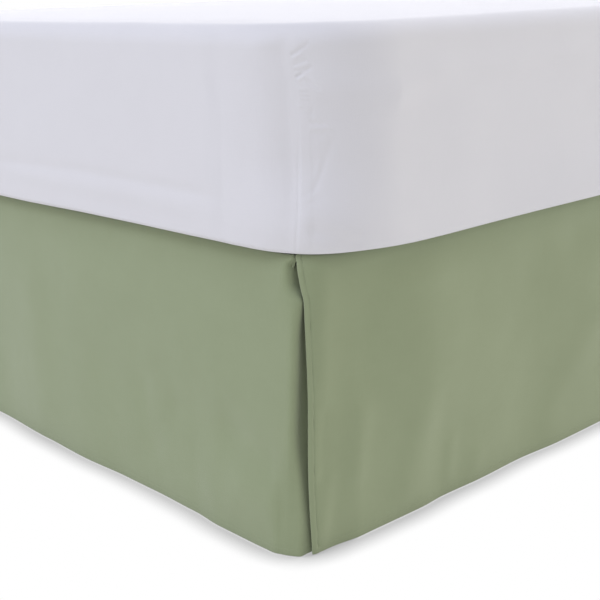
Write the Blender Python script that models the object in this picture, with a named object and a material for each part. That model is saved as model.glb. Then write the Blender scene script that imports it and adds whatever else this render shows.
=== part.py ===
"""Bed skirt with split foot corners, hung on a plain queen bed.

Three hanging panels are sewn to a flat deck that lies between the mattress and its
foundation. X runs across the bed, Y from the foot to the head, Z up. All sizes in metres.
"""

import math
from collections import namedtuple

import bmesh
import bpy
from mathutils import Vector

# ---- cloth -----------------------------------------------------------------------------
SKIRT_WIDTH = 1.524          # across the bed, outside the hanging panels (60 in)
SKIRT_LENGTH = 2.032         # foot to head (80 in)
CLOTH = 0.0015               # thickness of the cloth as built
HEM_UP = 0.002               # hem above the floor
GAP = 0.0003                 # between pieces that touch
SEAM_GAP = 0.0005            # between the deck and the panels' lips
CORNER_RADIUS = 0.045        # the skirt's plan radius at the two foot corners
DECK_HEAD_CORNER = 0.004     # the deck's small plan radius at the head
TOP_ROLL = 0.009             # radius where a panel turns over the bed's top edge
LIP_REACH = 0.034            # a panel's sewn edge, in from its outer face

# ---- bed -------------------------------------------------------------------------------
LEG_HEIGHT = 0.150
LEG_TOP_RADIUS = 0.028
LEG_FLOOR_RADIUS = 0.019
LEG_EDGE = 0.003
LEG_INSET = 0.100            # a leg's middle, in from the skirt's outer face
LEG_ROWS = (("foot", -0.920), ("middle", 0.0), ("head", 0.920))
FOUNDATION_TOP = 0.3785
FOUNDATION_INSET = 0.014     # inside the skirt's outer faces
FOUNDATION_CORNER = 0.060
FOUNDATION_EDGE = 0.012
MATTRESS_WIDTH = 1.545
MATTRESS_LENGTH = 2.045
MATTRESS_THICK = 0.270
MATTRESS_CORNER = 0.150
MATTRESS_LOW_EDGE = 0.008
MATTRESS_TOP_EDGE = 0.026
MATTRESS_SHIFT_X = 0.019     # the mattress sits a little to one side of the skirt
MATTRESS_SHIFT_Y = -0.009

# ---- worked out from them --------------------------------------------------------------
HALF_X = SKIRT_WIDTH / 2
HALF_Y = SKIRT_LENGTH / 2
LIP_LOW = FOUNDATION_TOP + GAP
LIP_TOP = LIP_LOW + CLOTH
MATTRESS_LOW = LIP_TOP + GAP
ROLL_START = LIP_TOP - TOP_ROLL
DROP = LIP_TOP - HEM_UP

# ---- the hem's uneven line: how far it hangs out from plumb (in is negative) -------------
Hem = namedtuple("Hem", "along out")
FOOT_HEM = [                 # along: from the right-hand split, seen from the foot
    Hem(0.00, 0.0165), Hem(0.16, 0.0165), Hem(0.22, 0.0115), Hem(0.30, 0.0100),
    Hem(0.38, 0.0105), Hem(0.49, 0.0145), Hem(0.60, 0.0115), Hem(0.76, 0.0050),
    Hem(0.88, 0.0065), Hem(1.02, 0.0120), Hem(1.14, 0.0085), Hem(1.27, 0.0105),
    Hem(1.40, 0.0140), Hem(1.524, 0.0140),
]
RIGHT_HEM = [                # along: from the foot towards the head
    Hem(0.00, -0.0125), Hem(0.05, -0.0135), Hem(0.095, -0.0060), Hem(0.21, -0.0040),
    Hem(0.26, -0.0070), Hem(0.34, -0.0052), Hem(0.43, -0.0075), Hem(0.53, -0.0028),
    Hem(0.75, -0.0050), Hem(0.95, -0.0015), Hem(1.15, -0.0060), Hem(1.40, -0.0025),
    Hem(1.62, -0.0055), Hem(1.85, -0.0010), Hem(2.032, -0.0035),
]
LEFT_HEM = [
    Hem(0.00, -0.0100), Hem(0.06, -0.0105), Hem(0.12, -0.0050), Hem(0.30, -0.0020),
    Hem(0.45, -0.0060), Hem(0.68, -0.0030), Hem(0.90, 0.0010), Hem(1.12, -0.0045),
    Hem(1.33, -0.0010), Hem(1.60, -0.0050), Hem(1.80, -0.0015), Hem(2.032, -0.0030),
]

# ---- folds: soft strokes across a panel, out (rise above 0) or in ------------------------
Fold = namedtuple("Fold", "from_along from_up to_along to_up half_width rise")
FOLD_FADE = (0.004, 0.060)   # under the sewn top: none, and in full
FOOT_FOLDS = [
    Fold(0.435, 0.170, 0.335, 0.150, 0.030, -0.0016),
    Fold(0.335, 0.150, 0.312, 0.060, 0.028, -0.0018),
    Fold(0.312, 0.060, 0.410, 0.010, 0.026, -0.0016),
    Fold(0.260, 0.185, 0.140, 0.190, 0.040, 0.0026),
    Fold(0.140, 0.190, 0.040, 0.160, 0.034, 0.0026),
    Fold(0.215, 0.100, 0.080, 0.075, 0.045, -0.0020),
    Fold(0.620, 0.230, 0.600, 0.060, 0.050, 0.0022),
    Fold(0.780, 0.300, 0.740, 0.020, 0.060, -0.0024),
    Fold(0.930, 0.250, 0.960, 0.015, 0.055, 0.0028),
    Fold(1.110, 0.320, 1.080, 0.040, 0.045, -0.0022),
    Fold(1.240, 0.220, 1.270, 0.010, 0.040, 0.0030),
    Fold(1.370, 0.200, 1.340, 0.030, 0.030, -0.0022),
]
RIGHT_FOLDS = [
    Fold(0.040, 0.200, 0.047, 0.010, 0.012, 0.0020),
    Fold(0.066, 0.150, 0.060, 0.060, 0.010, -0.0016),
    Fold(0.115, 0.165, 0.078, 0.010, 0.018, 0.0032),
    Fold(0.165, 0.200, 0.125, 0.020, 0.022, -0.0034),
    Fold(0.220, 0.130, 0.170, 0.010, 0.024, 0.0026),
    Fold(0.262, 0.150, 0.258, 0.030, 0.016, -0.0018),
    Fold(0.120, 0.300, 0.110, 0.230, 0.060, -0.0026),
    Fold(0.300, 0.300, 0.340, 0.120, 0.090, 0.0036),
    Fold(0.600, 0.260, 0.480, 0.060, 0.050, -0.0030),
    Fold(0.720, 0.240, 0.690, 0.020, 0.050, 0.0026),
    Fold(0.900, 0.300, 0.940, 0.040, 0.060, -0.0026),
    Fold(1.090, 0.200, 1.060, 0.010, 0.045, 0.0030),
    Fold(1.280, 0.320, 1.240, 0.060, 0.055, -0.0022),
    Fold(1.450, 0.220, 1.480, 0.010, 0.040, 0.0026),
    Fold(1.680, 0.280, 1.640, 0.030, 0.060, -0.0026),
    Fold(1.860, 0.220, 1.880, 0.010, 0.045, 0.0024),
]
LEFT_FOLDS = [
    Fold(0.080, 0.180, 0.070, 0.010, 0.018, 0.0026),
    Fold(0.135, 0.210, 0.120, 0.020, 0.022, -0.0026),
    Fold(0.200, 0.150, 0.215, 0.010, 0.026, 0.0026),
    Fold(0.390, 0.300, 0.350, 0.080, 0.070, -0.0028),
    Fold(0.560, 0.240, 0.590, 0.020, 0.050, 0.0028),
    Fold(0.790, 0.300, 0.760, 0.040, 0.060, -0.0024),
    Fold(0.990, 0.210, 1.020, 0.010, 0.045, 0.0030),
    Fold(1.210, 0.310, 1.180, 0.050, 0.060, -0.0026),
    Fold(1.420, 0.230, 1.400, 0.010, 0.045, 0.0024),
    Fold(1.630, 0.280, 1.670, 0.030, 0.055, -0.0024),
    Fold(1.840, 0.220, 1.820, 0.010, 0.045, 0.0026),
]

# ---- how the foot panel turns in behind a side panel at a split --------------------------
# in_x and in_y: inside the skirt's virtual corner over most of the height. hem_x and hem_y:
# the same at the hem, where the split closes. lip_angle: where the column's sewn edge stands
# on the corner's arc, or None on the tail, which ends under the side panel's roll.
Turn = namedtuple("Turn", "in_x in_y hem_x hem_y lip_angle")
TURN_START = 20.0            # degrees round the corner's arc where the cloth leaves it
TURN = [
    Turn(0.0265, 0.0042, 0.0253, 0.0046, 23.5),
    Turn(0.0226, 0.0072, 0.0198, 0.0077, 28.0),
    Turn(0.0200, 0.0120, 0.0143, 0.0121, 32.5),
    Turn(0.0194, 0.0135, 0.0128, 0.0139, None),
    Turn(0.0168, 0.0190, 0.0090, 0.0195, None),
    Turn(0.0110, 0.0300, 0.0056, 0.0300, None),
    Turn(0.0068, 0.0450, 0.0040, 0.0450, None),
    Turn(0.0052, 0.0600, 0.0040, 0.0600, None),
    Turn(0.0048, 0.0850, 0.0042, 0.0850, None),
]
SPLIT_CLOSED_UP = 0.170      # height under which the split starts to close
TAIL_TOP = 0.364
LIP_BLEND = (0.022, -0.002)  # how far under the roll a column moves over to its sewn edge
CORNER_SHIFT_REACH = 0.090   # how far from a corner the two hems share their shift

# ---- where a side panel's split edge stands on the corner's arc --------------------------
Split = namedtuple("Split", "up angle")
SPLIT_EDGE = [
    Split(0.000, 72.0), Split(0.050, 66.8), Split(0.100, 63.0), Split(0.150, 60.2),
    Split(0.210, 57.4), Split(0.270, 52.5), Split(0.320, 46.8), Split(0.365, 36.0),
]

# ---- how finely the cloth is cut into facets ---------------------------------------------
FACET_UPS = [0.0, 0.030, 0.068, 0.110, 0.155, 0.205, 0.255, 0.300, 0.340]
ROLL_STEPS = 3
FOOT_STEP = 0.048
SIDE_STEP = 0.042
ARC_STEPS = 4
CORNER_STEPS = 6             # round a plan corner of the mattress, foundation and deck
LOW_EDGE_STEPS = 3
TOP_EDGE_STEPS = 4
LEG_SIDES = 20
CLOTH_SMOOTH = 60.0          # degrees between facets that still shade as one surface
SOLID_SMOOTH = 40.0

ROUGHNESS = 0.85
PANEL_COLOUR = (0.290, 0.335, 0.225, 1.0)
DECK_COLOUR = (0.270, 0.315, 0.210, 1.0)
WHITE_COLOUR = (0.70, 0.70, 0.72, 1.0)
TICKING_COLOUR = (0.55, 0.54, 0.51, 1.0)
WOOD_COLOUR = (0.36, 0.22, 0.12, 1.0)


def clear_scene():
    for obj in list(bpy.data.objects):
        bpy.data.objects.remove(obj, do_unlink=True)


def smooth_step(value, low, high):
    t = min(1.0, max(0.0, (value - low) / (high - low)))
    return t * t * (3.0 - 2.0 * t)


def hem_out(rows, along):
    """The hem's distance from plumb, eased from one row of the table to the next."""
    if along <= rows[0].along:
        return rows[0].out
    for low, high in zip(rows, rows[1:]):
        if along <= high.along:
            t = smooth_step(along, low.along, high.along)
            return low.out + (high.out - low.out) * t
    return rows[-1].out


def fold_out(folds, along, up):
    """The sum of the folds at one place: each is a soft stroke from point to point."""
    out = 0.0
    for fold in folds:
        run_along = fold.to_along - fold.from_along
        run_up = fold.to_up - fold.from_up
        share = (along - fold.from_along) * run_along + (up - fold.from_up) * run_up
        share = min(1.0, max(0.0, share / (run_along ** 2 + run_up ** 2)))
        off_along = along - fold.from_along - share * run_along
        off_up = up - fold.from_up - share * run_up
        out += fold.rise * math.exp(-(off_along ** 2 + off_up ** 2) / fold.half_width ** 2)
    return out * smooth_step(LIP_TOP - up, FOLD_FADE[0], FOLD_FADE[1])


def roll_direction(out_x, out_y, turn):
    """Square to the cloth on the roll and the lip; None below them."""
    if turn == 0.0:
        return None
    return Vector((out_x * math.cos(turn), out_y * math.cos(turn), math.sin(turn)))


def hang_share(up):
    """0 at the sewn top, 1 at the hem."""
    return min(1.0, max(0.0, (LIP_TOP - up) / DROP))


def profile():
    """A panel's section as (how far in from the outer face, height, turn), hem to lip."""
    points = [(0.0, HEM_UP + up, 0.0) for up in FACET_UPS]
    for step in range(ROLL_STEPS + 1):
        turn = math.radians(90.0 * step / ROLL_STEPS)
        inward = TOP_ROLL * (1.0 - math.cos(turn))
        points.append((inward, ROLL_START + TOP_ROLL * math.sin(turn), turn))
    points.append((LIP_REACH, LIP_TOP, turn))
    return points


def tail_profile():
    """The same number of rows for the tail, which ends below the roll."""
    rows = len(profile())
    points = [(0.0, HEM_UP + up, 0.0) for up in FACET_UPS]
    last = points[-1][1]
    extra = rows - len(points)
    for step in range(1, extra + 1):
        points.append((0.0, last + (TAIL_TOP - last) * step / extra, 0.0))
    return points


def arc_point(angle):
    """Inside distances (x, y) of a point on the corner's arc; 0 degrees is on the foot face."""
    turn = math.radians(angle)
    in_x = CORNER_RADIUS * (1.0 - math.sin(turn))
    in_y = CORNER_RADIUS * (1.0 - math.cos(turn))
    return in_x, in_y


def steps_between(low, high, step):
    count = max(1, round((high - low) / step))
    return [low + (high - low) * k / count for k in range(count + 1)]


def sheet_solid(name, grid, rolled, colour, parent):
    """A closed sheet of even thickness behind a grid of outer points (columns of rows).

    rolled holds the outward direction where a point is on the roll or the lip, else None.
    """
    columns = len(grid)
    rows = len(grid[0])
    inner = []
    for i in range(columns):
        inner.append([])
        for j in range(rows):
            along = grid[min(i + 1, columns - 1)][j] - grid[max(i - 1, 0)][j]
            up = grid[i][min(j + 1, rows - 1)] - grid[i][max(j - 1, 0)]
            outward = rolled[i][j] or along.cross(up).normalized()
            inner[i].append(grid[i][j] - outward * CLOTH)
    shape = bmesh.new()
    front = [[shape.verts.new(point) for point in column] for column in grid]
    back = [[shape.verts.new(point) for point in column] for column in inner]
    for i in range(columns - 1):
        for j in range(rows - 1):
            shape.faces.new((front[i][j], front[i + 1][j], front[i + 1][j + 1], front[i][j + 1]))
            shape.faces.new((back[i][j], back[i][j + 1], back[i + 1][j + 1], back[i + 1][j]))
    for i in range(columns - 1):
        for j, turned in ((0, False), (rows - 1, True)):
            rim = (front[i][j], back[i][j], back[i + 1][j], front[i + 1][j])
            shape.faces.new(rim[::-1] if turned else rim)
    for j in range(rows - 1):
        for i, turned in ((0, True), (columns - 1, False)):
            rim = (front[i][j], back[i][j], back[i][j + 1], front[i][j + 1])
            shape.faces.new(rim[::-1] if turned else rim)
    return finish_object(name, shape, colour, parent, CLOTH_SMOOTH)


def lofted_solid(name, rings, colour, parent):
    """A closed solid through rings of points, lowest first, with flat ends."""
    shape = bmesh.new()
    loops = [[shape.verts.new(point) for point in ring] for ring in rings]
    count = len(loops[0])
    for low, high in zip(loops, loops[1:]):
        for k in range(count):
            after = (k + 1) % count
            shape.faces.new((low[k], low[after], high[after], high[k]))
    shape.faces.new(loops[0][::-1])
    shape.faces.new(loops[-1])
    return finish_object(name, shape, colour, parent, SOLID_SMOOTH)


def finish_object(name, shape, colour, parent, smooth_angle):
    bmesh.ops.recalc_face_normals(shape, faces=shape.faces)
    mesh = bpy.data.meshes.new(name)
    shape.to_mesh(mesh)
    shape.free()
    mesh.shade_smooth()
    mesh.set_sharp_from_angle(angle=math.radians(smooth_angle))
    obj = bpy.data.objects.new(name, mesh)
    bpy.context.scene.collection.objects.link(obj)
    obj.parent = parent
    mesh.materials.append(plain_material(name, colour))
    return obj


def plain_material(name, colour):
    material = bpy.data.materials.new(name + "_surface")
    material.use_nodes = True
    shader = material.node_tree.nodes["Principled BSDF"]
    shader.inputs["Base Color"].default_value = colour
    shader.inputs["Roughness"].default_value = ROUGHNESS
    shader.inputs["Metallic"].default_value = 0.0
    return material


def outline(low, high, radii, height):
    """A rectangle's outline at one height, anticlockwise; radii: foot pair, then head pair."""
    corners = (
        (low[0], low[1], 180.0, radii[0]), (high[0], low[1], 270.0, radii[0]),
        (high[0], high[1], 0.0, radii[1]), (low[0], high[1], 90.0, radii[1]),
    )
    points = []
    for x, y, start, radius in corners:
        centre_x = x + radius if x == low[0] else x - radius
        centre_y = y + radius if y == low[1] else y - radius
        for step in range(CORNER_STEPS + 1):
            turn = math.radians(start + 90.0 * step / CORNER_STEPS)
            points.append(Vector((centre_x + radius * math.cos(turn),
                                  centre_y + radius * math.sin(turn), height)))
    return points


def rounded_block(name, half_x, half_y, low, high, corner, low_edge, top_edge, colour, parent):
    """A block with a plan radius and rounded lower and upper edges."""
    levels = []
    for step in range(LOW_EDGE_STEPS + 1):
        turn = math.radians(90.0 * step / LOW_EDGE_STEPS)
        levels.append((low_edge * (1.0 - math.sin(turn)), low + low_edge * (1.0 - math.cos(turn))))
    for step in range(TOP_EDGE_STEPS + 1):
        turn = math.radians(90.0 * step / TOP_EDGE_STEPS)
        levels.append((top_edge * (1.0 - math.cos(turn)), high - top_edge * (1.0 - math.sin(turn))))
    rings = []
    for inset, height in levels:
        reach = (half_x - inset, half_y - inset)
        rings.append(outline((-reach[0], -reach[1]), reach, (corner - inset, corner - inset), height))
    return lofted_solid(name, rings, colour, parent)


# one column of the foot panel: (in_x, in_y) over most of the height, at the hem and at the
# sewn edge, its outward direction on a right-hand corner, and whether it is on the tail
Column = namedtuple("Column", "high low lip outward tail")


def corner_shift(side, in_x, in_y, along):
    """How far the hem stands from plumb across and along the bed; both panels share it."""
    rows = RIGHT_HEM if side > 0 else LEFT_HEM
    shared_x = 1.0 - smooth_step(in_x, CORNER_RADIUS / 2, CORNER_SHIFT_REACH)
    shared_y = 1.0 - smooth_step(in_y, CORNER_RADIUS / 2, CORNER_SHIFT_REACH)
    return side * shared_x * hem_out(rows, in_y), -shared_y * hem_out(FOOT_HEM, along)


def corner_columns():
    """The foot panel's columns round a corner, from its face to the end of its tail."""
    columns = []
    for step in range(1, ARC_STEPS + 1):
        angle = TURN_START * step / ARC_STEPS
        turn = math.radians(angle)
        on_arc = arc_point(angle)
        columns.append(Column(on_arc, on_arc, on_arc, (math.sin(turn), -math.cos(turn)), False))
    for row in TURN:
        high = (row.in_x, row.in_y)
        low = (row.hem_x, row.hem_y)
        if row.lip_angle is None:
            columns.append(Column(high, low, high, (1.0, 0.0), True))
        else:
            turn = math.radians(row.lip_angle)
            outward = (math.sin(turn), -math.cos(turn))
            columns.append(Column(high, low, arc_point(row.lip_angle), outward, False))
    return columns


def foot_columns():
    """The foot panel's columns from its left tail to its right tail, each with its side."""
    corner = corner_columns()
    columns = [(-1.0, column) for column in reversed(corner)]
    straight = HALF_X - CORNER_RADIUS
    for x in steps_between(-straight, straight, FOOT_STEP):
        place = (HALF_X - abs(x), 0.0)
        columns.append((math.copysign(1.0, x), Column(place, place, place, (0.0, -1.0), False)))
    columns += [(1.0, column) for column in corner]
    return columns


def mix(start, end, share):
    return [a + (b - a) * share for a, b in zip(start, end)]


def foot_panel(parent):
    grid = []
    rolled = []
    for side, column in foot_columns():
        along = HALF_X - side * (HALF_X - column.high[0])
        face = smooth_step(column.high[0], CORNER_RADIUS / 2, CORNER_SHIFT_REACH)
        out_x, out_y = side * column.outward[0], column.outward[1]
        points = []
        rolled.append([])
        for inward, up, turn in tail_profile() if column.tail else profile():
            closed = 1.0 - smooth_step(up, 0.0, SPLIT_CLOSED_UP)
            at_lip = smooth_step(up, ROLL_START - LIP_BLEND[0], ROLL_START - LIP_BLEND[1])
            in_x, in_y = mix(mix(column.high, column.low, closed), column.lip, at_lip)
            shift_x, shift_y = corner_shift(side, in_x, in_y, along)
            out = fold_out(FOOT_FOLDS, along, up) * face - inward
            points.append(Vector((
                side * (HALF_X - in_x) + out * out_x + shift_x * hang_share(up),
                in_y - HALF_Y + out * out_y + shift_y * hang_share(up), up)))
            rolled[-1].append(roll_direction(out_x, out_y, turn))
        grid.append(points)
    return sheet_solid("panel_foot", grid, rolled, PANEL_COLOUR, parent)


def split_angle(up):
    for low, high in zip(SPLIT_EDGE, SPLIT_EDGE[1:]):
        if up <= high.up:
            return low.angle + (high.angle - low.angle) * (up - low.up) / (high.up - low.up)
    return SPLIT_EDGE[-1].angle


def side_panel(name, side, folds, parent):
    """A side panel from its split edge on the corner's arc to the head; side is 1 or -1."""
    foot_along = HALF_X - side * HALF_X
    stretches = [("arc", k / ARC_STEPS) for k in range(ARC_STEPS)]
    stretches += [("face", y) for y in steps_between(CORNER_RADIUS, SKIRT_LENGTH, SIDE_STEP)]
    grid = []
    rolled = []
    for kind, value in stretches:
        points = []
        rolled.append([])
        for inward, up, turn in profile():
            if kind == "arc":
                start = split_angle(up)
                angle = start + (90.0 - start) * value
                in_x, in_y = arc_point(angle)
                round_by = math.radians(angle)
                out_x, out_y = side * math.sin(round_by), -math.cos(round_by)
            else:
                in_x, in_y = 0.0, value
                out_x, out_y = side, 0.0
            shift_x, shift_y = corner_shift(side, in_x, in_y, foot_along)
            out = fold_out(folds, in_y, up) - inward
            points.append(Vector((
                side * (HALF_X - in_x) + out * out_x + shift_x * hang_share(up),
                in_y - HALF_Y + out * out_y + shift_y * hang_share(up), up)))
            rolled[-1].append(roll_direction(out_x, out_y, turn))
        grid.append(points)
    if side < 0:
        grid.reverse()
        rolled.reverse()
    return sheet_solid(name, grid, rolled, PANEL_COLOUR, parent)


def deck(parent):
    """The flat centre piece, sewn edge to edge with the panels' lips, open at the head."""
    reach = LIP_REACH + SEAM_GAP
    low = (reach - HALF_X, reach - HALF_Y)
    high = (HALF_X - reach, HALF_Y - FOUNDATION_INSET - FOUNDATION_EDGE)
    radii = (CORNER_RADIUS - reach, DECK_HEAD_CORNER)
    rings = [outline(low, high, radii, up) for up in (LIP_LOW, LIP_TOP)]
    return lofted_solid("deck", rings, DECK_COLOUR, parent)


def foundation(parent):
    return rounded_block(
        "foundation", HALF_X - FOUNDATION_INSET, HALF_Y - FOUNDATION_INSET, LEG_HEIGHT,
        FOUNDATION_TOP, FOUNDATION_CORNER, FOUNDATION_EDGE / 2, FOUNDATION_EDGE,
        TICKING_COLOUR, parent)


def mattress(parent):
    block = rounded_block(
        "mattress", MATTRESS_WIDTH / 2, MATTRESS_LENGTH / 2, 0.0, MATTRESS_THICK,
        MATTRESS_CORNER, MATTRESS_LOW_EDGE, MATTRESS_TOP_EDGE, WHITE_COLOUR, parent)
    block.location = (MATTRESS_SHIFT_X, MATTRESS_SHIFT_Y, MATTRESS_LOW)
    return block


def leg(name, x, y, parent):
    """A tapered round leg, eased at both ends."""
    height = LEG_HEIGHT - GAP
    levels = (
        (LEG_FLOOR_RADIUS - LEG_EDGE, 0.0), (LEG_FLOOR_RADIUS, LEG_EDGE),
        (LEG_TOP_RADIUS, height - LEG_EDGE), (LEG_TOP_RADIUS - LEG_EDGE, height),
    )
    rings = []
    for radius, up in levels:
        turns = [math.tau * k / LEG_SIDES for k in range(LEG_SIDES)]
        rings.append([Vector((radius * math.cos(t), radius * math.sin(t), up)) for t in turns])
    obj = lofted_solid(name, rings, WOOD_COLOUR, parent)
    obj.location = (x, y, 0.0)
    return obj


def legs(parent):
    across = HALF_X - LEG_INSET
    for row, y in LEG_ROWS:
        for side, x in (("left", -across), ("right", across)):
            leg("leg_" + row + "_" + side, x, y, parent)


def centre_on_box(parent):
    """Move everything so that the origin is the middle of the whole box's underside."""
    bpy.context.view_layer.update()
    places = [obj.matrix_world @ vertex.co for obj in parent.children for vertex in obj.data.vertices]
    middle_x = (min(p.x for p in places) + max(p.x for p in places)) / 2
    middle_y = (min(p.y for p in places) + max(p.y for p in places)) / 2
    parent.location = (-middle_x, -middle_y, 0.0)


def build():
    clear_scene()
    bed = bpy.data.objects.new("bed_frame_of_reference", None)
    bpy.context.scene.collection.objects.link(bed)
    legs(bed)
    foundation(bed)
    deck(bed)
    foot_panel(bed)
    side_panel("panel_right", 1.0, RIGHT_FOLDS, bed)
    side_panel("panel_left", -1.0, LEFT_FOLDS, bed)
    mattress(bed)
    centre_on_box(bed)


build()
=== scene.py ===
"""The looks of a bed skirt with split corners and of the plain bed that it hangs on."""

import math
import random
from collections import namedtuple

import bpy
import numpy as np
from mathutils import Matrix, Vector


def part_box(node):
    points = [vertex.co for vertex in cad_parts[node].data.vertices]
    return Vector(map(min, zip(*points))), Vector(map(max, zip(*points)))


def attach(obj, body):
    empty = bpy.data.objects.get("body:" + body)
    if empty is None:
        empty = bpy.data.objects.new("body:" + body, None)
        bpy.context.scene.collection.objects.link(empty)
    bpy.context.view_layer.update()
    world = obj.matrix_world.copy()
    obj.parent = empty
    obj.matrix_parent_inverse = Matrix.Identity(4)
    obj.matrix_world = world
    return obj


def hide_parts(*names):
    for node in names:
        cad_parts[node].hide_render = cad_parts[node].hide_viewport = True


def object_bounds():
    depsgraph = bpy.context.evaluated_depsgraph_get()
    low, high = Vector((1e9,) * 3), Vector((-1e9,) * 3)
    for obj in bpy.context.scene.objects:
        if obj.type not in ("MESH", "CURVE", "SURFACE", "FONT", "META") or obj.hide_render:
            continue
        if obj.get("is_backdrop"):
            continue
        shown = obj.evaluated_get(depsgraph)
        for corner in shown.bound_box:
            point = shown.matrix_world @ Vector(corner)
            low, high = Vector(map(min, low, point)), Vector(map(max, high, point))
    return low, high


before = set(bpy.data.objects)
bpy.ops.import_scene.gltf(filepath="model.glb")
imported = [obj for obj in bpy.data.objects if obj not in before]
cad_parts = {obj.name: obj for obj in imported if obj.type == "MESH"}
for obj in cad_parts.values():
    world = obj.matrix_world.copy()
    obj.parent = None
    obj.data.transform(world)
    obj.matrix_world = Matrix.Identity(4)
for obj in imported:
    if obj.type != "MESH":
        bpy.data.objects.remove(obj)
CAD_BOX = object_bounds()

# ---- the skirt's driving sizes, the same as the solids' --------------------------------
SKIRT_WIDTH = 1.524
SKIRT_LENGTH = 2.032
CLOTH = 0.0015
HEM_UP = 0.002
CORNER_RADIUS = 0.045
SHOULDER_IN = 0.008          # the panels roll over the foundation's edge this far in ...
SHOULDER_DOWN = 0.017        # ... over this height
LIP_REACH = 0.0332
LIP_SUNK = 0.0001            # how far the lip lies below the top of the deck
CORNER_PUSH = -0.0010        # how far out, or in below 0, a shoulder stands on a corner
CORNER_PUSH_DOWN = 0.016
CORNER_PUSH_RUN = 0.045
CREST_REACH = 0.022          # this far in from a panel's face its shoulder's crest has gone
LAP_IN = 0.0026              # how far in the foot panel lies where a side panel laps its top
LAP_RUN = (0.0196, 0.0251)
LAP_UP = (0.3680, 0.3780)
SEAM_GAP = 0.0005
HALF_X = SKIRT_WIDTH / 2
HALF_Y = SKIRT_LENGTH / 2

# ---- where the bed stands: the foundation is centred on the skirt ------------------------
FOUNDATION_LOW, FOUNDATION_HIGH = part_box("foundation")
MATTRESS_LOW, MATTRESS_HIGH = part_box("mattress")
DECK_LOW, DECK_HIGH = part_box("deck")
BED = Vector(((FOUNDATION_LOW.x + FOUNDATION_HIGH.x) / 2,
              (FOUNDATION_LOW.y + FOUNDATION_HIGH.y) / 2, 0.0))
LIP_TOP = DECK_HIGH.z - LIP_SUNK
ROLL_START = LIP_TOP - SHOULDER_DOWN
DROP = LIP_TOP - HEM_UP

# ---- the hem's uneven line: how far it hangs out from plumb ------------------------------
Hem = namedtuple("Hem", "along out")
FOOT_HEM = [                 # along: from the right-hand split, seen from the foot
    Hem(0.00, 0.0166), Hem(0.012, 0.0163), Hem(0.030, 0.0151), Hem(0.055, 0.0158),
    Hem(0.09, 0.0165), Hem(0.16, 0.0165), Hem(0.22, 0.0118), Hem(0.30, 0.0100),
    Hem(0.38, 0.0105), Hem(0.49, 0.0145), Hem(0.60, 0.0115), Hem(0.76, 0.0050),
    Hem(0.88, 0.0065), Hem(1.02, 0.0120), Hem(1.14, 0.0085), Hem(1.27, 0.0105),
    Hem(1.40, 0.0140), Hem(1.524, 0.0140),
]
RIGHT_HEM = [                # along: from the foot towards the head
    Hem(0.00, -0.0127), Hem(0.05, -0.0115), Hem(0.095, -0.0052), Hem(0.21, -0.0040),
    Hem(0.26, -0.0070), Hem(0.34, -0.0052), Hem(0.43, -0.0075), Hem(0.53, -0.0028),
    Hem(0.75, -0.0050), Hem(0.95, -0.0015), Hem(1.15, -0.0060), Hem(1.40, -0.0025),
    Hem(1.62, -0.0055), Hem(1.85, -0.0010), Hem(2.032, -0.0035),
]
LEFT_HEM = [
    Hem(0.00, -0.0100), Hem(0.06, -0.0105), Hem(0.12, -0.0050), Hem(0.30, -0.0020),
    Hem(0.45, -0.0060), Hem(0.68, -0.0030), Hem(0.90, 0.0010), Hem(1.12, -0.0045),
    Hem(1.33, -0.0010), Hem(1.60, -0.0050), Hem(1.80, -0.0015), Hem(2.032, -0.0030),
]

# ---- folds: soft strokes across a piece, out (rise above 0) or in ------------------------
Fold = namedtuple("Fold", "from_along from_up to_along to_up half_width rise")
FOLD_FADE = (0.004, 0.060)   # under the sewn top: none, and in full
FOLD_HEM = (-0.012, 0.050)   # above the floor, the same at the hem
FOOT_FOLDS = [
    Fold(0.435, 0.158, 0.335, 0.150, 0.026, -0.0014),
    Fold(0.335, 0.150, 0.316, 0.075, 0.026, -0.0014),
    Fold(0.316, 0.060, 0.410, 0.010, 0.026, -0.0014),
    Fold(0.254, 0.137, 0.137, 0.136, 0.036, -0.0034),
    Fold(0.137, 0.136, 0.055, 0.115, 0.034, -0.0034),
    Fold(0.105, 0.074, 0.040, 0.070, 0.034, 0.0046),
    Fold(0.175, 0.050, 0.140, 0.046, 0.026, 0.0022),
    Fold(0.480, 0.290, 0.220, 0.260, 0.060, 0.0030),
    Fold(0.620, 0.230, 0.600, 0.060, 0.050, 0.0030),
    Fold(0.780, 0.300, 0.740, 0.020, 0.060, -0.0034),
    Fold(0.930, 0.250, 0.960, 0.015, 0.055, 0.0038),
    Fold(1.110, 0.320, 1.080, 0.040, 0.045, -0.0030),
    Fold(1.240, 0.220, 1.270, 0.010, 0.040, 0.0036),
    Fold(1.370, 0.200, 1.340, 0.030, 0.030, -0.0026),
]
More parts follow.
